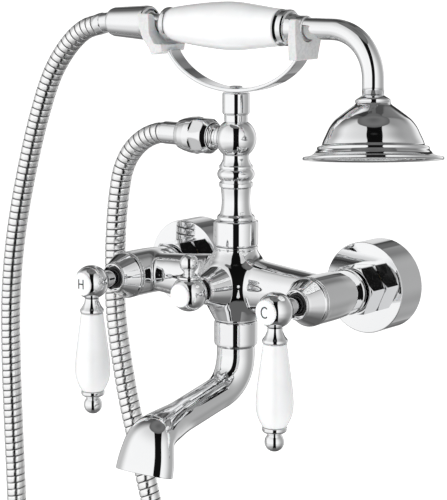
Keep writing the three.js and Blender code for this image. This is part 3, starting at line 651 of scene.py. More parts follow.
def make_supply(side, x, letter):
    """One inlet with its valve. Heights are distances from the wall."""
    lever = f"{side}_lever"
    axis = from_wall(x)

    def add(name, outline, at=axis, **more):
        lathe(f"{name}_{side}", outline, at, **more)

    wall_end = ring([(7, -18), (9.3, -18), (9.3, 8), (7, 8)], 0.6)
    thread = helical_tube([(0, 0, z) for z in np.linspace(-18, 4, 40)], 10.3, 1.8,
                          (0.0, 0.18, 0.34, 0.5, 0.68, 0.84), (1.0, 0.75, 0.1, 0.0, 0.1, 0.75), 32)
    lowered = from_wall(x, -6)
    flange = ring([(8, 4.5), (17.5, 4.5), (17.5, 11), (8, 11)], 0.8)
    valve_end = ring([(8, 10), (12.5, 10), (12.5, 28.2), (8, 28.2)], 0.5)
    piece(f"eccentric_connector_{side}_visual", joined(
        turned(wall_end, 48, lowered), (moved(thread[0], lowered), thread[1]),
        turned(flange, 64, from_wall(x, -3)), turned(valve_end, 64, axis),
    ), ROOT, "brass", f"eccentric_connector_{side}")

    rose = ring([(28, 0), (29.5, 0), (29.5, 23), (14, 23), (14, 21.5), (28, 21.5)], 0.7, 5)
    add("escutcheon", rose, sides=128)

    nut = even(rounded([
        (10.4, 23.3), (15.9, 23.3), (17.4, 24.6), (17.4, 37.1), (15.9, 38.4), (10.4, 38.4)
    ], 0.3, 3))
    nut = chain(nut, [(10.4, 34.6), (13, 34.6), (13, 23.5)])
    add("union_nut", nut, sides=192, shape=hexagon(30, 23, 39), sharp=22)
    tail = ring([(7.5, 30.5), (12.5, 30.5), (12.5, 33.6), (9.8, 33.6), (9.8, 52), (7.5, 52)])
    add("inlet_tail", tail, slot="brass", sides=64, look="chrome")

    bonnet = ring([
        (9.3, 75.2), (11.4, 75.2), (11.4, 82.75), (15.2, 82.75), (15.6, 83.4), (15.4, 84.7),
        (14.7, 85.4), (10.6, 93.7), (9.9, 94.9), (9.6, 95.4), (9.6, 96.3), (9.1, 96.9),
        (8.4, 96.9), (8.4, 93.5), (6.1, 93.5), (6.1, 89.5), (9.3, 87.5)], 0.35)
    add("bonnet", bonnet)
    wiper = ring([(5.7, 93.6), (7.4, 93.6), (7.4, 95.5), (5.7, 95.5)], 0.5)
    piece(f"stem_wiper_{side}", turned(wiper, 64, axis), ROOT, "rubber")
    sleeve = rounded([
        (0, 64.5), (3.6, 64.5), (3.6, 80.6), (5.5, 82), (5.5, 106), (3.9, 106), (3.9, 114.2),
        (2.6, 114.2), (2.6, 103), (0, 103)], 0.3)
    add("spindle", sleeve, body=lever, sides=64)

    face = HUB_REACH + 8.4
    ball = chain(arc(11.2, HUB_REACH, -67, 48, 26)[:-1], rounded([
        (7.6, HUB_REACH + 8.1), (7.3, face), (6.9, face), (6.9, 118.5), (2.8, 118.5),
        (2.8, 115), (4.3, 115), (4.3, HUB_REACH - 10.3)], 0.2))
    add("handle_hub", ball, body=lever)
    button = chain([(0, 122)], rounded(
        [(6.5, 122), (6.5, face + 0.3), (7.7, face + 0.3), (7.7, face + 1.1), (6.9, face + 1.7),
         (4, face + 1.85), (0, face + 1.9)], 0.4, 5))
    add("index_button", button, body=lever, slot="ceramic")
    mark = flat_letter(letter, 0.85, 0.2)
    verts = np.column_stack([mark[0][:, 0] + x, -(face + 1.78) - mark[0][:, 2], mark[0][:, 1]])
    piece(f"index_mark_{side}", (verts, mark[1]), lever, "ceramic", look="letter_enamel",
          sharp=30)

    hanging = upright(x, -HUB_REACH)
    collar = chain(
        [(2.4, -20.2)], rounded([
            (2.6, -20.25), (7.1, -20.25), (7.9, -19.7), (8, -18.9), (7.8, -18.1)], 0.3),
        spline([(7.4, -17.6), (6.3, -16.1), (5.35, -14.2), (4.8, -12.6), (4.6, -10.6)]),
        [(2.4, -10.6)])
    add("lever_collar", collar, hanging, body=lever, sides=80)
    grip = chain(
        [(2.5, -72.2)], rounded([(2.7, -72.3), (7.1, -72.3), (7.6, -71.9)], 0.2),
        spline([(8.4, -70.6), (10.1, -67), (11.2, -63), (11.6, -58.6), (11.25, -51),
                (9.9, -40), (8.5, -29.2), (7.5, -21.7)], 5),
        rounded([(7.4, -20.8), (7.0, -20.45), (2.5, -20.45)], 0.2))
    add("lever_grip", grip, hanging, body=lever, slot="ceramic")
    finial = chain(
        arc(6.1, -81.9, -90, 50, 22),
        rounded([(4.6, -76.9), (5.6, -76.3), (7.3, -75.3), (7.7, -74.5), (7.7, -72.9),
                 (7.3, -72.5), (2, -72.5), (2, -7), (0, -7)], 0.25))
    add("lever_finial", finial, hanging, body=lever, sides=80)


make_supply("hot", -75, LETTER_H)
make_supply("cold", 75, LETTER_C)


# ---- Body casting: one smooth skin through the arms, the hub, the boss and the barrels ----
ARM_PROFILE = spline([
    (0, 20), (8, 19), (15, 17.8), (20, 17), (28, 16.1), (36, 15.3), (44, 14.5), (52, 13.9),
    (60, 13.2), (75, 12.5), (90, 12)])
HUB_PROFILE = spline([
    (-26, 13.2), (-24.6, 13.7), (-20.5, 15.8), (-16.4, 18), (-12, 20.4), (-6, 23.4), (0, 24.3),
    (6, 23.5), (12, 20.6), (16.6, 17.4), (21.7, 14.1), (26, 13.2)])
BOSS_PROFILE = spline([(50, 17.8), (60.5, 16.5), (70, 14.9), (79.2, 13.4), (84, 12.6)])
BARREL_PROFILE = spline([(38, 14.2), (44, 14.2), (60, 15.2), (74, 15.38), (86, 15.4)])


def round_field(rho, along, profile, low, high, edge=0.8):
    """Distance to a turned body given by (place along its axis, radius), cut flat at its ends."""
    radius = np.interp(along, profile[:, 0], profile[:, 1])
    slope = np.interp(along, profile[:, 0], np.gradient(profile[:, 1], profile[:, 0]))
    side = (rho - radius) / np.sqrt(1 + slope ** 2) + edge
    end = np.maximum(low - along, along - high) + edge
    both = np.minimum(np.maximum(side, end), 0)
    return both + np.hypot(np.maximum(side, 0), np.maximum(end, 0)) - edge


def soft_union(a, b, size):
    """Union of two fields with a fillet of about that size."""
    h = np.clip(0.5 + 0.5 * (b - a) / size, 0, 1)
    return b + (a - b) * h - size * h * (1 - h)


def body_field(p):
    """Distance to the body's skin, in mm, for points (x, distance from the wall, z)."""
    x, q, z = p[..., 0], p[..., 1] - BODY_REACH, p[..., 2]
    hub = round_field(np.hypot(x, q), z, HUB_PROFILE, -23.6, 24.0)
    boss = round_field(np.hypot(x, z), p[..., 1], BOSS_PROFILE, BODY_REACH, 78.6)
    flatter = 1 + 0.28 * np.exp(-(x / 22) ** 2)
    arms = round_field(np.hypot(q * flatter, z), np.abs(x), ARM_PROFILE, -200, 78)
    barrel = round_field(np.hypot(np.abs(x) - 75, z), p[..., 1], BARREL_PROFILE, 41.2, 81.6)
    core = soft_union(hub, arms, 3.0)
    core = soft_union(core, boss, 3.5)
    return soft_union(core, barrel, 3.0)


def gradient(field, p, h=0.02):
    """The field's slope at points."""
    return np.stack([
        (field(p + step) - field(p - step)) / (2 * h) for step in np.eye(3) * h
    ], -1)


def skin(field, low, high, step):
    """A quad mesh on the field's zero surface, relaxed so that its quads are even."""
    axes = [np.arange(a, b + step, step) for a, b in zip(low, high)]
    shape = [len(a) for a in axes]
    points = np.stack(np.meshgrid(*axes, indexing="ij"), -1)
    inside = field(points) < 0
    count = np.zeros([s - 1 for s in shape], int)
    for i in (0, 1):
        for j in (0, 1):
            for k in (0, 1):
                count += inside[i:shape[0] - 1 + i, j:shape[1] - 1 + j, k:shape[2] - 1 + k]
    mixed = (count > 0) & (count < 8)
    index = np.full(mixed.shape, -1)
    index[mixed] = np.arange(mixed.sum())
    verts = points[:-1, :-1, :-1][mixed] + step / 2
    faces = []
    for axis in range(3):
        near = [slice(1, -1)] * 3
        near[axis] = slice(0, -1)
        far = list(near)
        far[axis] = slice(1, None)
        a, b = inside[tuple(near)], inside[tuple(far)]
        for state, flip in ((a & ~b, False), (~a & b, True)):
            i, j, k = np.nonzero(state)
            cell = np.stack([i, j, k], -1) + 1
            cell[:, axis] -= 1
            u, v = (axis + 1) % 3, (axis + 2) % 3
            corners = []
            for du, dv in ((-1, -1), (0, -1), (0, 0), (-1, 0)):
                corner = cell.copy()
                corner[:, u] += du
                corner[:, v] += dv
                corners.append(index[corner[:, 0], corner[:, 1], corner[:, 2]])
            quads = np.stack(corners, -1)
            faces.append(quads[:, ::-1] if flip else quads)
    faces = np.vstack(faces)
    for _ in range(6):
        verts = settle(field, verts)
        total = np.zeros_like(verts)
        share = np.zeros(len(verts))
        for k in range(4):
            a, b = faces[:, k], faces[:, (k + 1) % 4]
            np.add.at(total, a, verts[b])
            np.add.at(total, b, verts[a])
            np.add.at(share, a, 1)
            np.add.at(share, b, 1)
        verts = 0.5 * verts + 0.5 * total / share[:, None]
    return settle(field, settle(field, verts)), faces.tolist()


def settle(field, verts):
    """Vertices moved onto the field's zero surface."""
    slope = gradient(field, verts)
    reach = field(verts)[:, None] * slope / np.maximum((slope ** 2).sum(1, keepdims=True), 1e-6)
    return verts - np.clip(reach, -1.5, 1.5)


def make_body():
    """The casting's skin, and the turned rims at the ends of its barrels, hub and boss."""
    verts, faces = skin(body_field, (-93, 38, -27), (93, 85, 28), 1.0)
    made = piece("main_body_visual", (np.stack([verts[:, 0], -verts[:, 1], verts[:, 2]], 1),
                                      faces), ROOT, "chrome", "main_body", weighted=False)
    world = np.array([v.co for v in made.data.vertices]) / MM
    local = np.stack([world[:, 0], -world[:, 1], world[:, 2]], 1)
    slope = gradient(body_field, local)
    slope /= np.maximum(np.linalg.norm(slope, axis=1, keepdims=True), 1e-9)
    slope[:, 1] *= -1
    made.data.normals_split_custom_set_from_vertices(slope.tolist())

    front = ring([
        (11.8, 77), (15.34, 77), (15.44, 80), (15.44, 81.9), (15, 82.4), (11.8, 82.4)])
    rear = ring([
        (9.9, 40.3), (13.6, 40.3), (14.6, 41.3), (14.6, 43.4), (14.2, 43.9), (14.1, 44.6),
        (9.9, 44.6)])
    rims = [turned(rim, 96, from_wall(x)) for x in (-75, 75) for rim in (front, rear)]
    top = ring([
        (12.3, 21), (13.9, 21), (13.95, 23), (14.15, 23.4), (14.15, 24.2), (13.7, 24.7),
        (12.3, 24.7)], 0.25)
    bottom = ring([
        (12, -24.3), (13.4, -24.3), (14, -23.9), (14.1, -23), (13.9, -21.4), (12, -21.4)])
    boss = ring([(10.4, 76), (13.95, 76), (13.5, 78.7), (13.1, 79.2), (10.4, 79.2)], 0.25)
    rims += [turned(top, 96, upright()), turned(bottom, 96, upright()),
             turned(boss, 96, from_wall(0))]
    piece("main_body_rims", joined(*rims), ROOT, "chrome", "main_body")


make_body()


# ---- Diverter ----
def make_diverter():
    """Bonnet, spindle and the ball knob with its button and pointer."""
    knob = "diverter_knob"
    axis = from_wall(0)
    bonnet = ring([
        (8, 72.8), (9.9, 72.8), (9.9, 79.6), (13, 79.6), (13.5, 80.1), (13.4, 81), (9.1, 93.8),
        (8.8, 94.4), (8.6, 94.8), (8.5, 95.2), (8.1, 95.7), (7.4, 95.7), (7.4, 92.5), (5.1, 92.5),
        (5.1, 88), (8, 86)])
    lathe("diverter_bonnet", bonnet, axis)
    wiper = ring([(4.6, 92.6), (6.5, 92.6), (6.5, 94.4), (4.6, 94.4)], 0.5)
    piece("diverter_wiper", turned(wiper, 64, axis), ROOT, "rubber")
    sleeve = rounded([
        (0, 66.5), (3.2, 66.5), (3.2, 78), (4.4, 79), (4.4, 97.6), (3.6, 97.6), (3.6, 104.6),
        (2.6, 104.6), (2.6, 95), (0, 95)], 0.25)
    lathe("diverter_spindle", sleeve, axis, knob, sides=64)
    face = DIVERTER_REACH + 8.7
    ball = chain(
        arc(11.5, DIVERTER_REACH, -68, 49, 26)[:-1],
        rounded([(7.7, face - 0.3), (7.3, face), (6.9, face), (6.9, 109.5), (2.8, 109.5),
                 (2.8, 105.4), (4.1, 105.4), (4.1, DIVERTER_REACH - 10.6)], 0.2))
    lathe("diverter_hub", ball, axis, knob)
    button = chain([(0, 112.8)], rounded(
        [(6.5, 112.8), (6.5, face + 0.3), (7.5, face + 0.3), (7.5, face + 1), (6.8, face + 1.6),
         (4, face + 1.75), (0, face + 1.8)], 0.4, 5))
    lathe("diverter_button", button, axis, knob, "ceramic")
    pointer = chain(
        [(0, 7.5), (2.3, 7.5), (2.3, 11.9)],
        rounded([(2.4, 11.8), (5, 10.7), (7.2, 9.4), (7.6, 9.9), (7.5, 10.9), (6.2, 11.8),
                 (4.4, 12.4)], 0.25),
        spline([(3.7, 12.9), (3.4, 13.6), (3.7, 14.2)]),
        arc(6.1, 19.3, -50, 90, 24))
    lathe("diverter_pointer", pointer, upright(0, -DIVERTER_REACH), knob, sides=80)


make_diverter()


# ---- Spout ----
SPOUT_SLOPE = 12        # degrees below level along the reach
MOUTH_LEAN = 16         # degrees forward of straight down at the outlet
MOUTH = np.array([0, -152.5, -107.0])
MOUTH_RADIUS = 18.0     # mean half width of the flared mouth, an oval
MOUTH_WIDER = 1.16
MOUTH_SHALLOWER = 0.7


def bezier(a, b, c, d, count):
    """Points on a cubic curve, without its last one."""
    t = np.linspace(0, 1, count, endpoint=False)[:, None]
    return ((1 - t) ** 3 * a + 3 * (1 - t) ** 2 * t * b + 3 * (1 - t) * t * t * c + t ** 3 * d)


def smoothstep(t, low, high):
    """0 below low, 1 above high, smooth between."""
    u = np.clip((t - low) / (high - low), 0, 1)
    return u * u * (3 - 2 * u)


def make_spout():
    """The collar nut, the tube with its mouth, and the aerator."""
    nut = ring([
        (10.8, -41), (12.9, -41), (13.9, -40.2), (14.1, -38.6), (14.1, -25.6), (13.7, -24.7),
        (12.4, -24.7), (12.4, -37.6), (10.8, -37.6)], 0.4)
    lathe("spout_collar_nut", nut, upright())
    start = np.array([0, -BODY_REACH, -41.1])
    first = np.array([0, -BODY_REACH, -46.0])
    way = np.array([0, -cos(radians(SPOUT_SLOPE)), -sin(radians(SPOUT_SLOPE))])
    down = np.array([0, -sin(radians(MOUTH_LEAN)), -cos(radians(MOUTH_LEAN))])
    bent = first + (0, -19.8, -24.5)
    mouth_start = MOUTH - 12 * down
    second = bent + 54 * way
    line = np.vstack([
        np.linspace(start, first, 4, endpoint=False),
        bezier(first, first + (0, 0, -13), bent - 13 * way, bent, 26),
        np.linspace(bent, second, 22, endpoint=False),
        bezier(second, second + 12 * way, mouth_start - 10 * down, mouth_start, 22),
        np.linspace(mouth_start, MOUTH, 8),
    ])
    steps = np.linalg.norm(np.diff(line, axis=0), axis=1)
    share = np.concatenate([[0], np.cumsum(steps)]) / steps.sum()
    radii = (12.4 - 1.8 * smoothstep(share, 0.08, 0.35) + 3.2 * smoothstep(share, 0.58, 0.8)
             + (MOUTH_RADIUS - 13.8) * smoothstep(share, 0.72, 1))
    oval = smoothstep(share, 0.55, 0.95)
    widths = radii * (1 + (MOUTH_WIDER - 1) * oval)
    depths = radii * (1 + (MOUTH_SHALLOWER - 1) * oval)
    lip = np.array([
        (0.25, -0.02), (0.45, -0.15), (0.55, -0.4), (0.5, -1.3), (0.4, -1.8), (0.2, -2.1),
        (-0.2, -2.3), (-2, -2.4), (-8, -2.4), (-14, -2.5)])
    tangents = np.gradient(line, axis=0)
    tangents /= np.linalg.norm(tangents, axis=1)[:, None]
    tangents = np.vstack([tangents, np.tile(down, (len(lip), 1))])
    frames = flat_frames(tangents, (1.0, 0, 0))
    line = np.vstack([line, MOUTH + lip[:, :1] * down])
    widths = np.concatenate([widths, widths[-1] + lip[:, 1]])
    depths = np.concatenate([depths, depths[-1] + lip[:, 1]])
    neck = rounded([
        (0, -42), (10.4, -42), (10.4, -37.1), (12, -37.1), (12, -33.6), (9.2, -33.6),
        (9.2, -32.2), (7.7, -32.2), (7.7, -30.2), (9.2, -30.2), (9.2, -27), (0, -27)], 0.2)
    tube = swept(line, widths, 96, frames=frames, depths=depths)
    piece("spout_tube_visual", joined(tube, turned(neck, 48, upright())), "spout", "chrome",
          "spout_tube")

    mouth = place(MOUTH, down) @ Matrix.Diagonal((1.18, 0.66, 1, 1))
    plate = rounded([
        (0, -10.5), (12.4, -10.5), (12.4, -2.2), (14.2, -2.2), (14.9, -3), (14.9, -13.4),
        (0, -13.4)], 0.3)
    ribs = []
    for r in (3.4, 6.4, 9.4):
        rib = ring([(r - 0.35, -10.6), (r - 0.35, -3.4), (r + 0.35, -3.4), (r + 0.35, -10.6)], 0.2)
        ribs.append(turned(rib, 64, mouth))
    for angle in range(0, 360, 30):
        turn = mouth @ Matrix.Rotation(radians(angle), 4, "Z")
        bar = np.array([(x, y, z) for x in (2.9, 12.6) for y in (-0.35, 0.35)
                        for z in (-10.6, -4.2)], float)
        ribs.append((moved(bar, turn), [[0, 1, 3, 2], [4, 6, 7, 5], [0, 4, 5, 1],
                                        [2, 3, 7, 6], [0, 2, 6, 4], [1, 5, 7, 3]]))
    piece("aerator_visual", joined(turned(plate, 80, mouth), *ribs), "spout",
          "perforated_plastic", "aerator", sharp=30, weighted=False)


make_spout()


# ---- Riser, cradle and forks ----
CRADLE_SEAT = 124.2
CRADLE_HALF_SPAN = 56.0
CRADLE_RISE = 36.0
CRADLE_SWEEP = 70
STRAP_WIDTH = 12.0
STRAP_THICKNESS = 2.6


def make_riser():
    """The riser's nut and column, and the ball with the hose outlet."""
    nut = ring([
        (12.7, 25), (13.9, 25), (14.5, 25.8), (14.5, 40.5), (13.7, 41.4), (10.4, 41.4),
        (10.4, 38.8), (12.7, 38.8)], 0.4)
    lathe("riser_union_nut", nut, upright())
    column = chain(
        [(6.3, 35.4), (12.3, 35.4), (12.3, 38.3), (9.9, 38.3), (9.9, 41.8)],
        rounded([
            (10, 41.85), (12, 41.85), (12.2, 42.5), (12.2, 43.7), (11.7, 44.4), (10.8, 45.2)], 0.3),
        spline([(10.4, 45.6), (9.6, 48.6), (9.2, 53.5), (9.35, 58), (9.8, 62.4)]),
        rounded([(9.85, 62.7), (10.6, 63.1), (10.85, 63.6), (10.85, 65.6), (10.5, 66.2),
                 (9.7, 66.6)], 0.25),
        spline([(9.7, 67), (10.9, 68.4), (11.8, 69.9), (12.05, 71.3), (11.8, 72.8),
                (10.9, 74.2), (10.3, 74.9)]),
        rounded([(10.3, 75.1), (10.8, 75.4), (10.8, 76.8), (10.3, 77.3)], 0.2),
        spline([(10, 77.7), (9, 79.7), (8.45, 81.6), (8.35, 84)]),
        [(6.3, 84), (6.3, 35.5)])
    lathe("riser_column", column, upright())
    ball = turned(chain([(0, 84.3)], arc(13.1, BALL_HEIGHT, -50, 90, 40)), 112, upright())
    nipple = chain(
        [(0, 4), (7.8, 4), (7.8, 12)],
        spline([(7.6, 12.3), (7, 12.9), (6.85, 13.6), (7.1, 14.6), (7.6, 15.4), (7.55, 16.1),
                (6.8, 16.8), (6.6, 17.3)], 4),
        rounded([(8.6, 18.2), (8.6, 27.8), (5, 27.8), (5, 20), (0, 20)], 0.3))
    piece("hose_outlet_ball_visual", joined(ball, turned(nipple, 72, TO_LEFT)), ROOT,
          "chrome", "hose_outlet_ball")

    stem = rounded([
        (0, 105.4), (7.5, 105.4), (7.5, 109.7), (8.4, 110.2), (8.8, 111.2), (8.8, 123.2),
        (8.2, 123.9), (2.6, 123.9), (2.6, 113), (0, 113)], 0.35)
    lathe("cradle_stem", stem, upright(), sides=80)
    screw = rounded([
        (0, 114), (2.1, 114), (2.1, 127.1), (4.2, 127.1), (4.1, 127.8), (3, 128.15), (0, 128.2)
    ], 0.3)
    lathe("cradle_screw", screw, upright(), slot="steel", sides=64)


def make_strap():
    """The cradle's strap: the lower part of an ellipse, with rounded edges."""
    centre = CRADLE_SEAT + CRADLE_RISE + STRAP_THICKNESS / 2
    angles = np.radians(np.linspace(-CRADLE_SWEEP, CRADLE_SWEEP, 73))
    half = np.array([STRAP_WIDTH / 2, STRAP_THICKNESS / 2])
    corner = 0.9
    section = []
    for quarter in range(4):
        sign = np.array([(1, 1), (-1, 1), (-1, -1), (1, -1)][quarter])
        for a in np.radians(np.linspace(0, 90, 5) + 90 * quarter):
            section.append(sign * (half - corner) + corner * np.array([cos(a), sin(a)]))
    loops = []
    for a in angles:
        spot = np.array([CRADLE_HALF_SPAN * sin(a), centre - CRADLE_RISE * cos(a)])
        out = np.array([sin(a) * CRADLE_RISE, -cos(a) * CRADLE_HALF_SPAN])
        out /= np.linalg.norm(out)
        loops.append([(spot[0] + v * out[0], -BODY_REACH + u, spot[1] + v * out[1])
                      for u, v in section])
    loops = np.array(loops)
    rows, columns = loops.shape[:2]
    faces = grid_faces(rows, columns)
    faces += [list(range(columns)), [(rows - 1) * columns + k for k in range(columns)]]
    piece("cradle_yoke_visual", (loops.reshape(-1, 3), faces), ROOT, "chrome", "cradle_yoke")


def in_order(verts, faces):
    """The same mesh with its vertices and faces in an order that their places alone decide,
    because a bisected mesh comes in a different order each run."""
    order = np.lexsort(verts.T)
    index = np.argsort(order).tolist()
    faces = [[index[k] for k in face] for face in faces]
    starts = [face.index(min(face)) for face in faces]
    return verts[order], sorted(f[k:] + f[:k] for f, k in zip(faces, starts))


def make_fork(name, inner, outer, height, held, foot=(0.0, 0.0)):
    """A moulded fork: its front outline extruded between two side lines, with soft edges.
    inner and outer are (height, x) lines of its two faces, and foot is how far the bottom
    edge of each is raised."""
    rest = held + 0.3
    left = [(-11.4, 147), (-11.7, 150), (-12.6, 154), (-13.5, 158.5), (-13.8, 162),
            (-13.8, 171.5), (-13.2, 172.6)]
    opening = [(-rest - 1.2, height + 5.4), (-rest, height + 2.4)]
    saddle = [(-rest * cos(a), height - rest * sin(a))
              for a in np.radians(np.linspace(0, 180, 25))]
    half = left + [(-11.2, 172.6)] + opening
    outline = half + saddle + [(-u, v) for u, v in half[::-1]]
    work = bmesh.new()
    ring = [work.verts.new((0, u, v)) for u, v in outline]
    face = work.faces.new(ring)
    grown = bmesh.ops.extrude_face_region(work, geom=[face])
    top = [g for g in grown["geom"] if isinstance(g, bmesh.types.BMVert)]
    bmesh.ops.translate(work, verts=top, vec=(1, 0, 0))
    for z in sorted({line[0] for line in inner + outer})[1:-1]:
        geometry = work.verts[:] + work.edges[:] + work.faces[:]
        bmesh.ops.bisect_plane(work, geom=geometry, plane_co=(0, 0, z), plane_no=(0, 0, 1))
    for vertex in work.verts:
        line = outer if vertex.co.x > 0.5 else inner
        x = np.interp(vertex.co.z, [p[0] for p in line], [p[1] for p in line])
        raised = foot[line is outer] if vertex.co.z < 147.01 else 0
        vertex.co = Vector((x, vertex.co.y - BODY_REACH, vertex.co.z + raised))
    bmesh.ops.recalc_face_normals(work, faces=work.faces)
    work.verts.index_update()
    verts, faces = in_order(np.round([v.co for v in work.verts], 3),
                            [[v.index for v in f.verts] for f in work.faces])
    work.free()
    made = piece(name + "_visual", (verts, faces), ROOT, "translucent_plastic", name,
                 weighted=False)
    bevel = made.modifiers.new("soft_edges", "BEVEL")
    bevel.width = 0.0008
    bevel.segments = 3
    bevel.limit_method = "ANGLE"
    bevel.angle_limit = radians(28)
    bevel.harden_normals = True


def make_cradle():
    """Strap and forks."""
    make_strap()
    rise = sin(radians(HANDSET_PITCH))
    make_fork("cradle_fork_left",
              [(147, -52.6), (152.6, -52.6), (153.4, -58.6), (160, -61.8), (172.6, -62.2)],
              [(147, -61.8), (156.4, -67.6), (165, -70.4), (172.6, -70.8)],
              HANDSET_HEIGHT - 65 * rise, 6.7, foot=(1.6, -1.1))
    make_fork("cradle_fork_right",
              [(147, 49.8), (172.6, 52.4)], [(147, 56.4), (160, 57.2), (172.6, 57)],
              HANDSET_HEIGHT + 54 * rise, 7.9)


make_riser()
make_cradle()


# ---- Hose ends ----
def make_hose_ends():
    """The nut and ferrule on the outlet. Heights run left from the riser's axis."""
    nut = even(rounded([
        (9.1, 18.4), (9.5, 18.5), (11.7, 21.5), (12.1, 24.5), (12.3, 28), (12.25, 31), (11.9, 36),
        (10.9, 41), (9.9, 44.3), (9.2, 45.3), (8.3, 45.4), (7.8, 44.9)], 0.5, 5), 0.5)
    nut = chain(nut, [(7.8, 34), (9.1, 34)])
    piece("hose_nut_lower_visual", turned(nut, 180, TO_LEFT, hexagon(22.6, 17, 30, 4.0)),
          ROOT, "chrome", "hose_nut_lower", sharp=24)
    ferrule = ring([
        (5.2, 30), (8.6, 30), (8.6, 33.6), (7.5, 33.6), (7.5, 59.4), (6.2, 59.4), (6.2, 58.4),
        (5.2, 58.4)], 0.4)
    lathe("hose_ferrule_lower", ferrule, TO_LEFT, sides=72)


make_hose_ends()


# ---- Hand shower ----
ELBOW_RADIUS = 32.0
ELBOW_TURN = 84.6
ELBOW_REACH = 108.1
ELBOW_TUBE = 6.7
ELBOW_DROP = 9.6
FERRULE_BENDS_AT = -104   # beyond this the upper ferrule bends down with the hose,
FERRULE_SAG = 0.0124      # by this much times the square of the distance


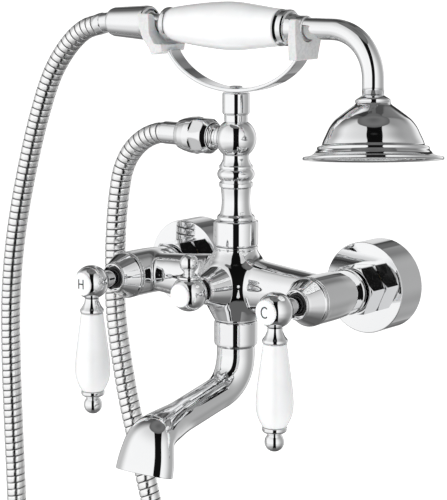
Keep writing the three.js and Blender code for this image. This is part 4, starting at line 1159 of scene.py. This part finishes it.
def make_handset():
    """Everything that lifts off the cradle, on its own axis."""
    def add(name, outline, slot="chrome", sides=96):
        lathe(name, outline, ALONG_HANDSET, "handset", slot, sides)

    sleeve = np.array([
        (-118.5, 6.4), (-118.4, 6.9), (-118.1, 7.1), (-115.5, 7.15), (-113, 7.1), (-112.7, 6.9),
        (-112.6, 6.5), (-110, 6.5), (-107, 6.5), (-104, 6.4), (-103, 6.3), (-80.6, 6.3),
        (-80.5, 8.6), (-77.6, 8.6)])
    reach = sleeve[:, 0]
    sag = -FERRULE_SAG * np.minimum(reach - FERRULE_BENDS_AT, 0) ** 2
    bent = np.column_stack([reach, 0 * reach, sag])
    piece("hose_ferrule_upper_visual", swept(bent, sleeve[:, 1], 64, HANDSET), "handset",
          "chrome", "hose_ferrule_upper", sharp=35)
    add("hose_nut_upper", chain(
        [(6.6, -105.6)],
        rounded([(6.8, -105.7), (8, -105.5), (9, -104.2), (9.75, -101.8), (11.45, -75),
                 (11.2, -72.6), (10.4, -71.6), (9, -71.4)], 0.5),
        [(9, -82.4), (6.6, -82.4)]))
    add("handset_neck", chain(
        [(4.5, -77.2), (8.5, -77.2)],
        rounded([(8.5, -71.6), (7, -71), (6.6, -69.6)], 0.3),
        spline([(6.5, -68.8), (6.3, -66), (6.4, -62.5), (7, -60)]),
        rounded([(8.2, -58.8), (10.3, -57.2), (10.9, -56.2), (10.9, -54.6), (10.3, -53.2),
                 (9.6, -52.6), (4.5, -52.6)], 0.4)))
    add("handset_grip", chain(
        [(5, -52.2)], rounded([(5.2, -52.25), (9.9, -52.25), (10.7, -51.6)], 0.5),
        spline([(11.2, -49.5), (12.3, -42), (13.8, -29.5), (15, -16), (15.5, -4), (15.2, 4),
                (14.4, 12), (13.4, 20.5), (12.4, 29), (11.8, 35)], 6),
        rounded([(11.7, 35.9), (11.2, 36.3), (5, 36.3)], 0.3)), "ceramic", 128)

    collar = chain(
        rounded([(11.2, 36.6), (11.7, 36.8), (11.7, 37.1), (10.4, 38.8), (10.4, 39.1),
                 (11.5, 39.3), (11.5, 42.8), (10.7, 43.9), (9.6, 44.2), (9.3, 45.1)], 0.15),
        spline([(9.2, 45.5), (8.9, 46.9), (8.25, 48.9), (7.8, 50.5)]),
        rounded([(7.75, 50.8), (8, 51.2), (8, 55.6), (7.7, 56.2), (6.9, 56.4)], 0.3),
        [(ELBOW_TUBE, 56.9), (ELBOW_TUBE, 62), (ELBOW_TUBE, 68)])
    run_end = ELBOW_REACH - ELBOW_RADIUS
    turn = np.radians(np.linspace(0, ELBOW_TURN, 40))
    bend = np.stack([run_end + ELBOW_RADIUS * np.sin(turn), 0 * turn,
                     ELBOW_RADIUS * (np.cos(turn) - 1)], 1)
    drop = np.array([cos(turn[-1]), 0, -sin(turn[-1])])
    outlet = bend[-1] + ELBOW_DROP * drop
    straight = np.column_stack([collar[:, 1], 0 * collar[:, 1], 0 * collar[:, 1]])
    line = np.vstack([straight, bend, [bend[-1] + 4.5 * drop], [outlet]])
    radii = np.concatenate([collar[:, 0], np.full(len(bend) + 2, ELBOW_TUBE)])
    tangents = np.vstack([np.tile([1.0, 0, 0], (len(straight), 1)),
                          np.stack([np.cos(turn), 0 * turn, -np.sin(turn)], 1), [drop], [drop]])
    frames = flat_frames(tangents, (0.0, 1.0, 0))
    piece("handset_elbow_visual", swept(line, radii, 80, HANDSET, frames=frames), "handset",
          "chrome", "handset_elbow")

    bell_axis = HANDSET @ place(outlet, drop)
    bell = chain(
        [(5, 0.3)],
        rounded([(7, 0.3), (10.1, 2.4), (10.9, 3.2), (10.9, 4.3), (10.4, 5)], 0.35),
        spline([(12, 6.4), (14, 7.8), (16.2, 9.4), (18.6, 11.2), (20.9, 13), (23.1, 14.9),
                (24.8, 16.9), (26.6, 19.6), (28.6, 23.8), (30.3, 27.5), (31.2, 30.2)], 6),
        rounded([(32, 30.9), (33.5, 31), (34, 31.6), (34, 32.9), (34.5, 33.6)], 0.3),
        spline([(35, 34), (36, 35.2), (37.4, 36), (39, 36.7)]),
        rounded([(41.2, 37.1), (42.5, 37.4), (42.8, 38.2), (42.6, 39), (41.8, 39.4),
                 (40.4, 39.4), (38.2, 38.8)], 0.5),
        spline([(37, 38.2), (33, 33.8), (29.2, 27), (24.6, 20), (15.6, 12), (5, 6)], 4))
    lathe("shower_bell", bell, bell_axis, "handset", sides=160)

    plate = chain([(0, 35.4)], rounded(
        [(33.8, 35.4), (35.9, 37.2), (35.4, 37.4), (30, 37.4), (12, 37.4), (0, 37.4)], 0.5, 5))
    lathe("shower_faceplate", plate, bell_axis, "handset", "perforated_plastic", sides=128)
    nozzle = rounded([
        (0, 36.9), (1.35, 36.9), (1.25, 37.9), (0.95, 38.4), (0.5, 38.4), (0.45, 37.9), (0, 37.9)
    ], 0.12, 2)
    nozzles = []
    for row in range(6):
        count = max(1, 6 * row)
        for k in range(count):
            angle = 2 * pi * (k + 0.5 * (row % 2)) / count
            spot = Matrix.Translation((5.9 * row * cos(angle), 5.9 * row * sin(angle), 0))
            nozzles.append(turned(nozzle, 12, bell_axis @ spot))
    piece("shower_nozzles", joined(*nozzles), "handset", "rubber", look="nozzle_rubber")


make_handset()


# ---- CAD pieces that stay: hidden or small ones, each in its own finish ----
def paint_frame():
    """Gives every CAD node that still shows a node material by its slot."""
    for name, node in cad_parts.items():
        if node.hide_render:
            continue
        if "washer" in name or "o_ring" in name:
            look = "rubber"
        elif "screw" in name:
            look = "steel"
        elif "cartridge" in name:
            look = "brass"
        else:
            look = "chrome"
        for held in node.material_slots:
            held.material = MATERIALS[look]


paint_frame()


# ---- Floor, in metres ----
FLOOR_HEIGHT = -0.72
FLOOR_HALF = 60
FLOOR_GLOW = 0.85


def make_floor():
    """A wide pale floor under the hose."""
    verts = [(x * FLOOR_HALF, y * FLOOR_HALF, FLOOR_HEIGHT)
             for x, y in ((-1, -1), (1, -1), (1, 1), (-1, 1))]
    mesh = bpy.data.meshes.new("floor")
    mesh.from_pydata(verts, [], [(0, 1, 2, 3)])
    floor = bpy.data.objects.new("floor", mesh)
    bpy.context.scene.collection.objects.link(floor)
    mesh.materials.append(MATERIALS["floor_paper"])
    shader = MATERIALS["floor_paper"].node_tree.nodes["Principled BSDF"]
    shader.inputs["Emission Color"].default_value = (1, 1, 1, 1)
    shader.inputs["Emission Strength"].default_value = FLOOR_GLOW
    floor.visible_glossy = False


make_floor()
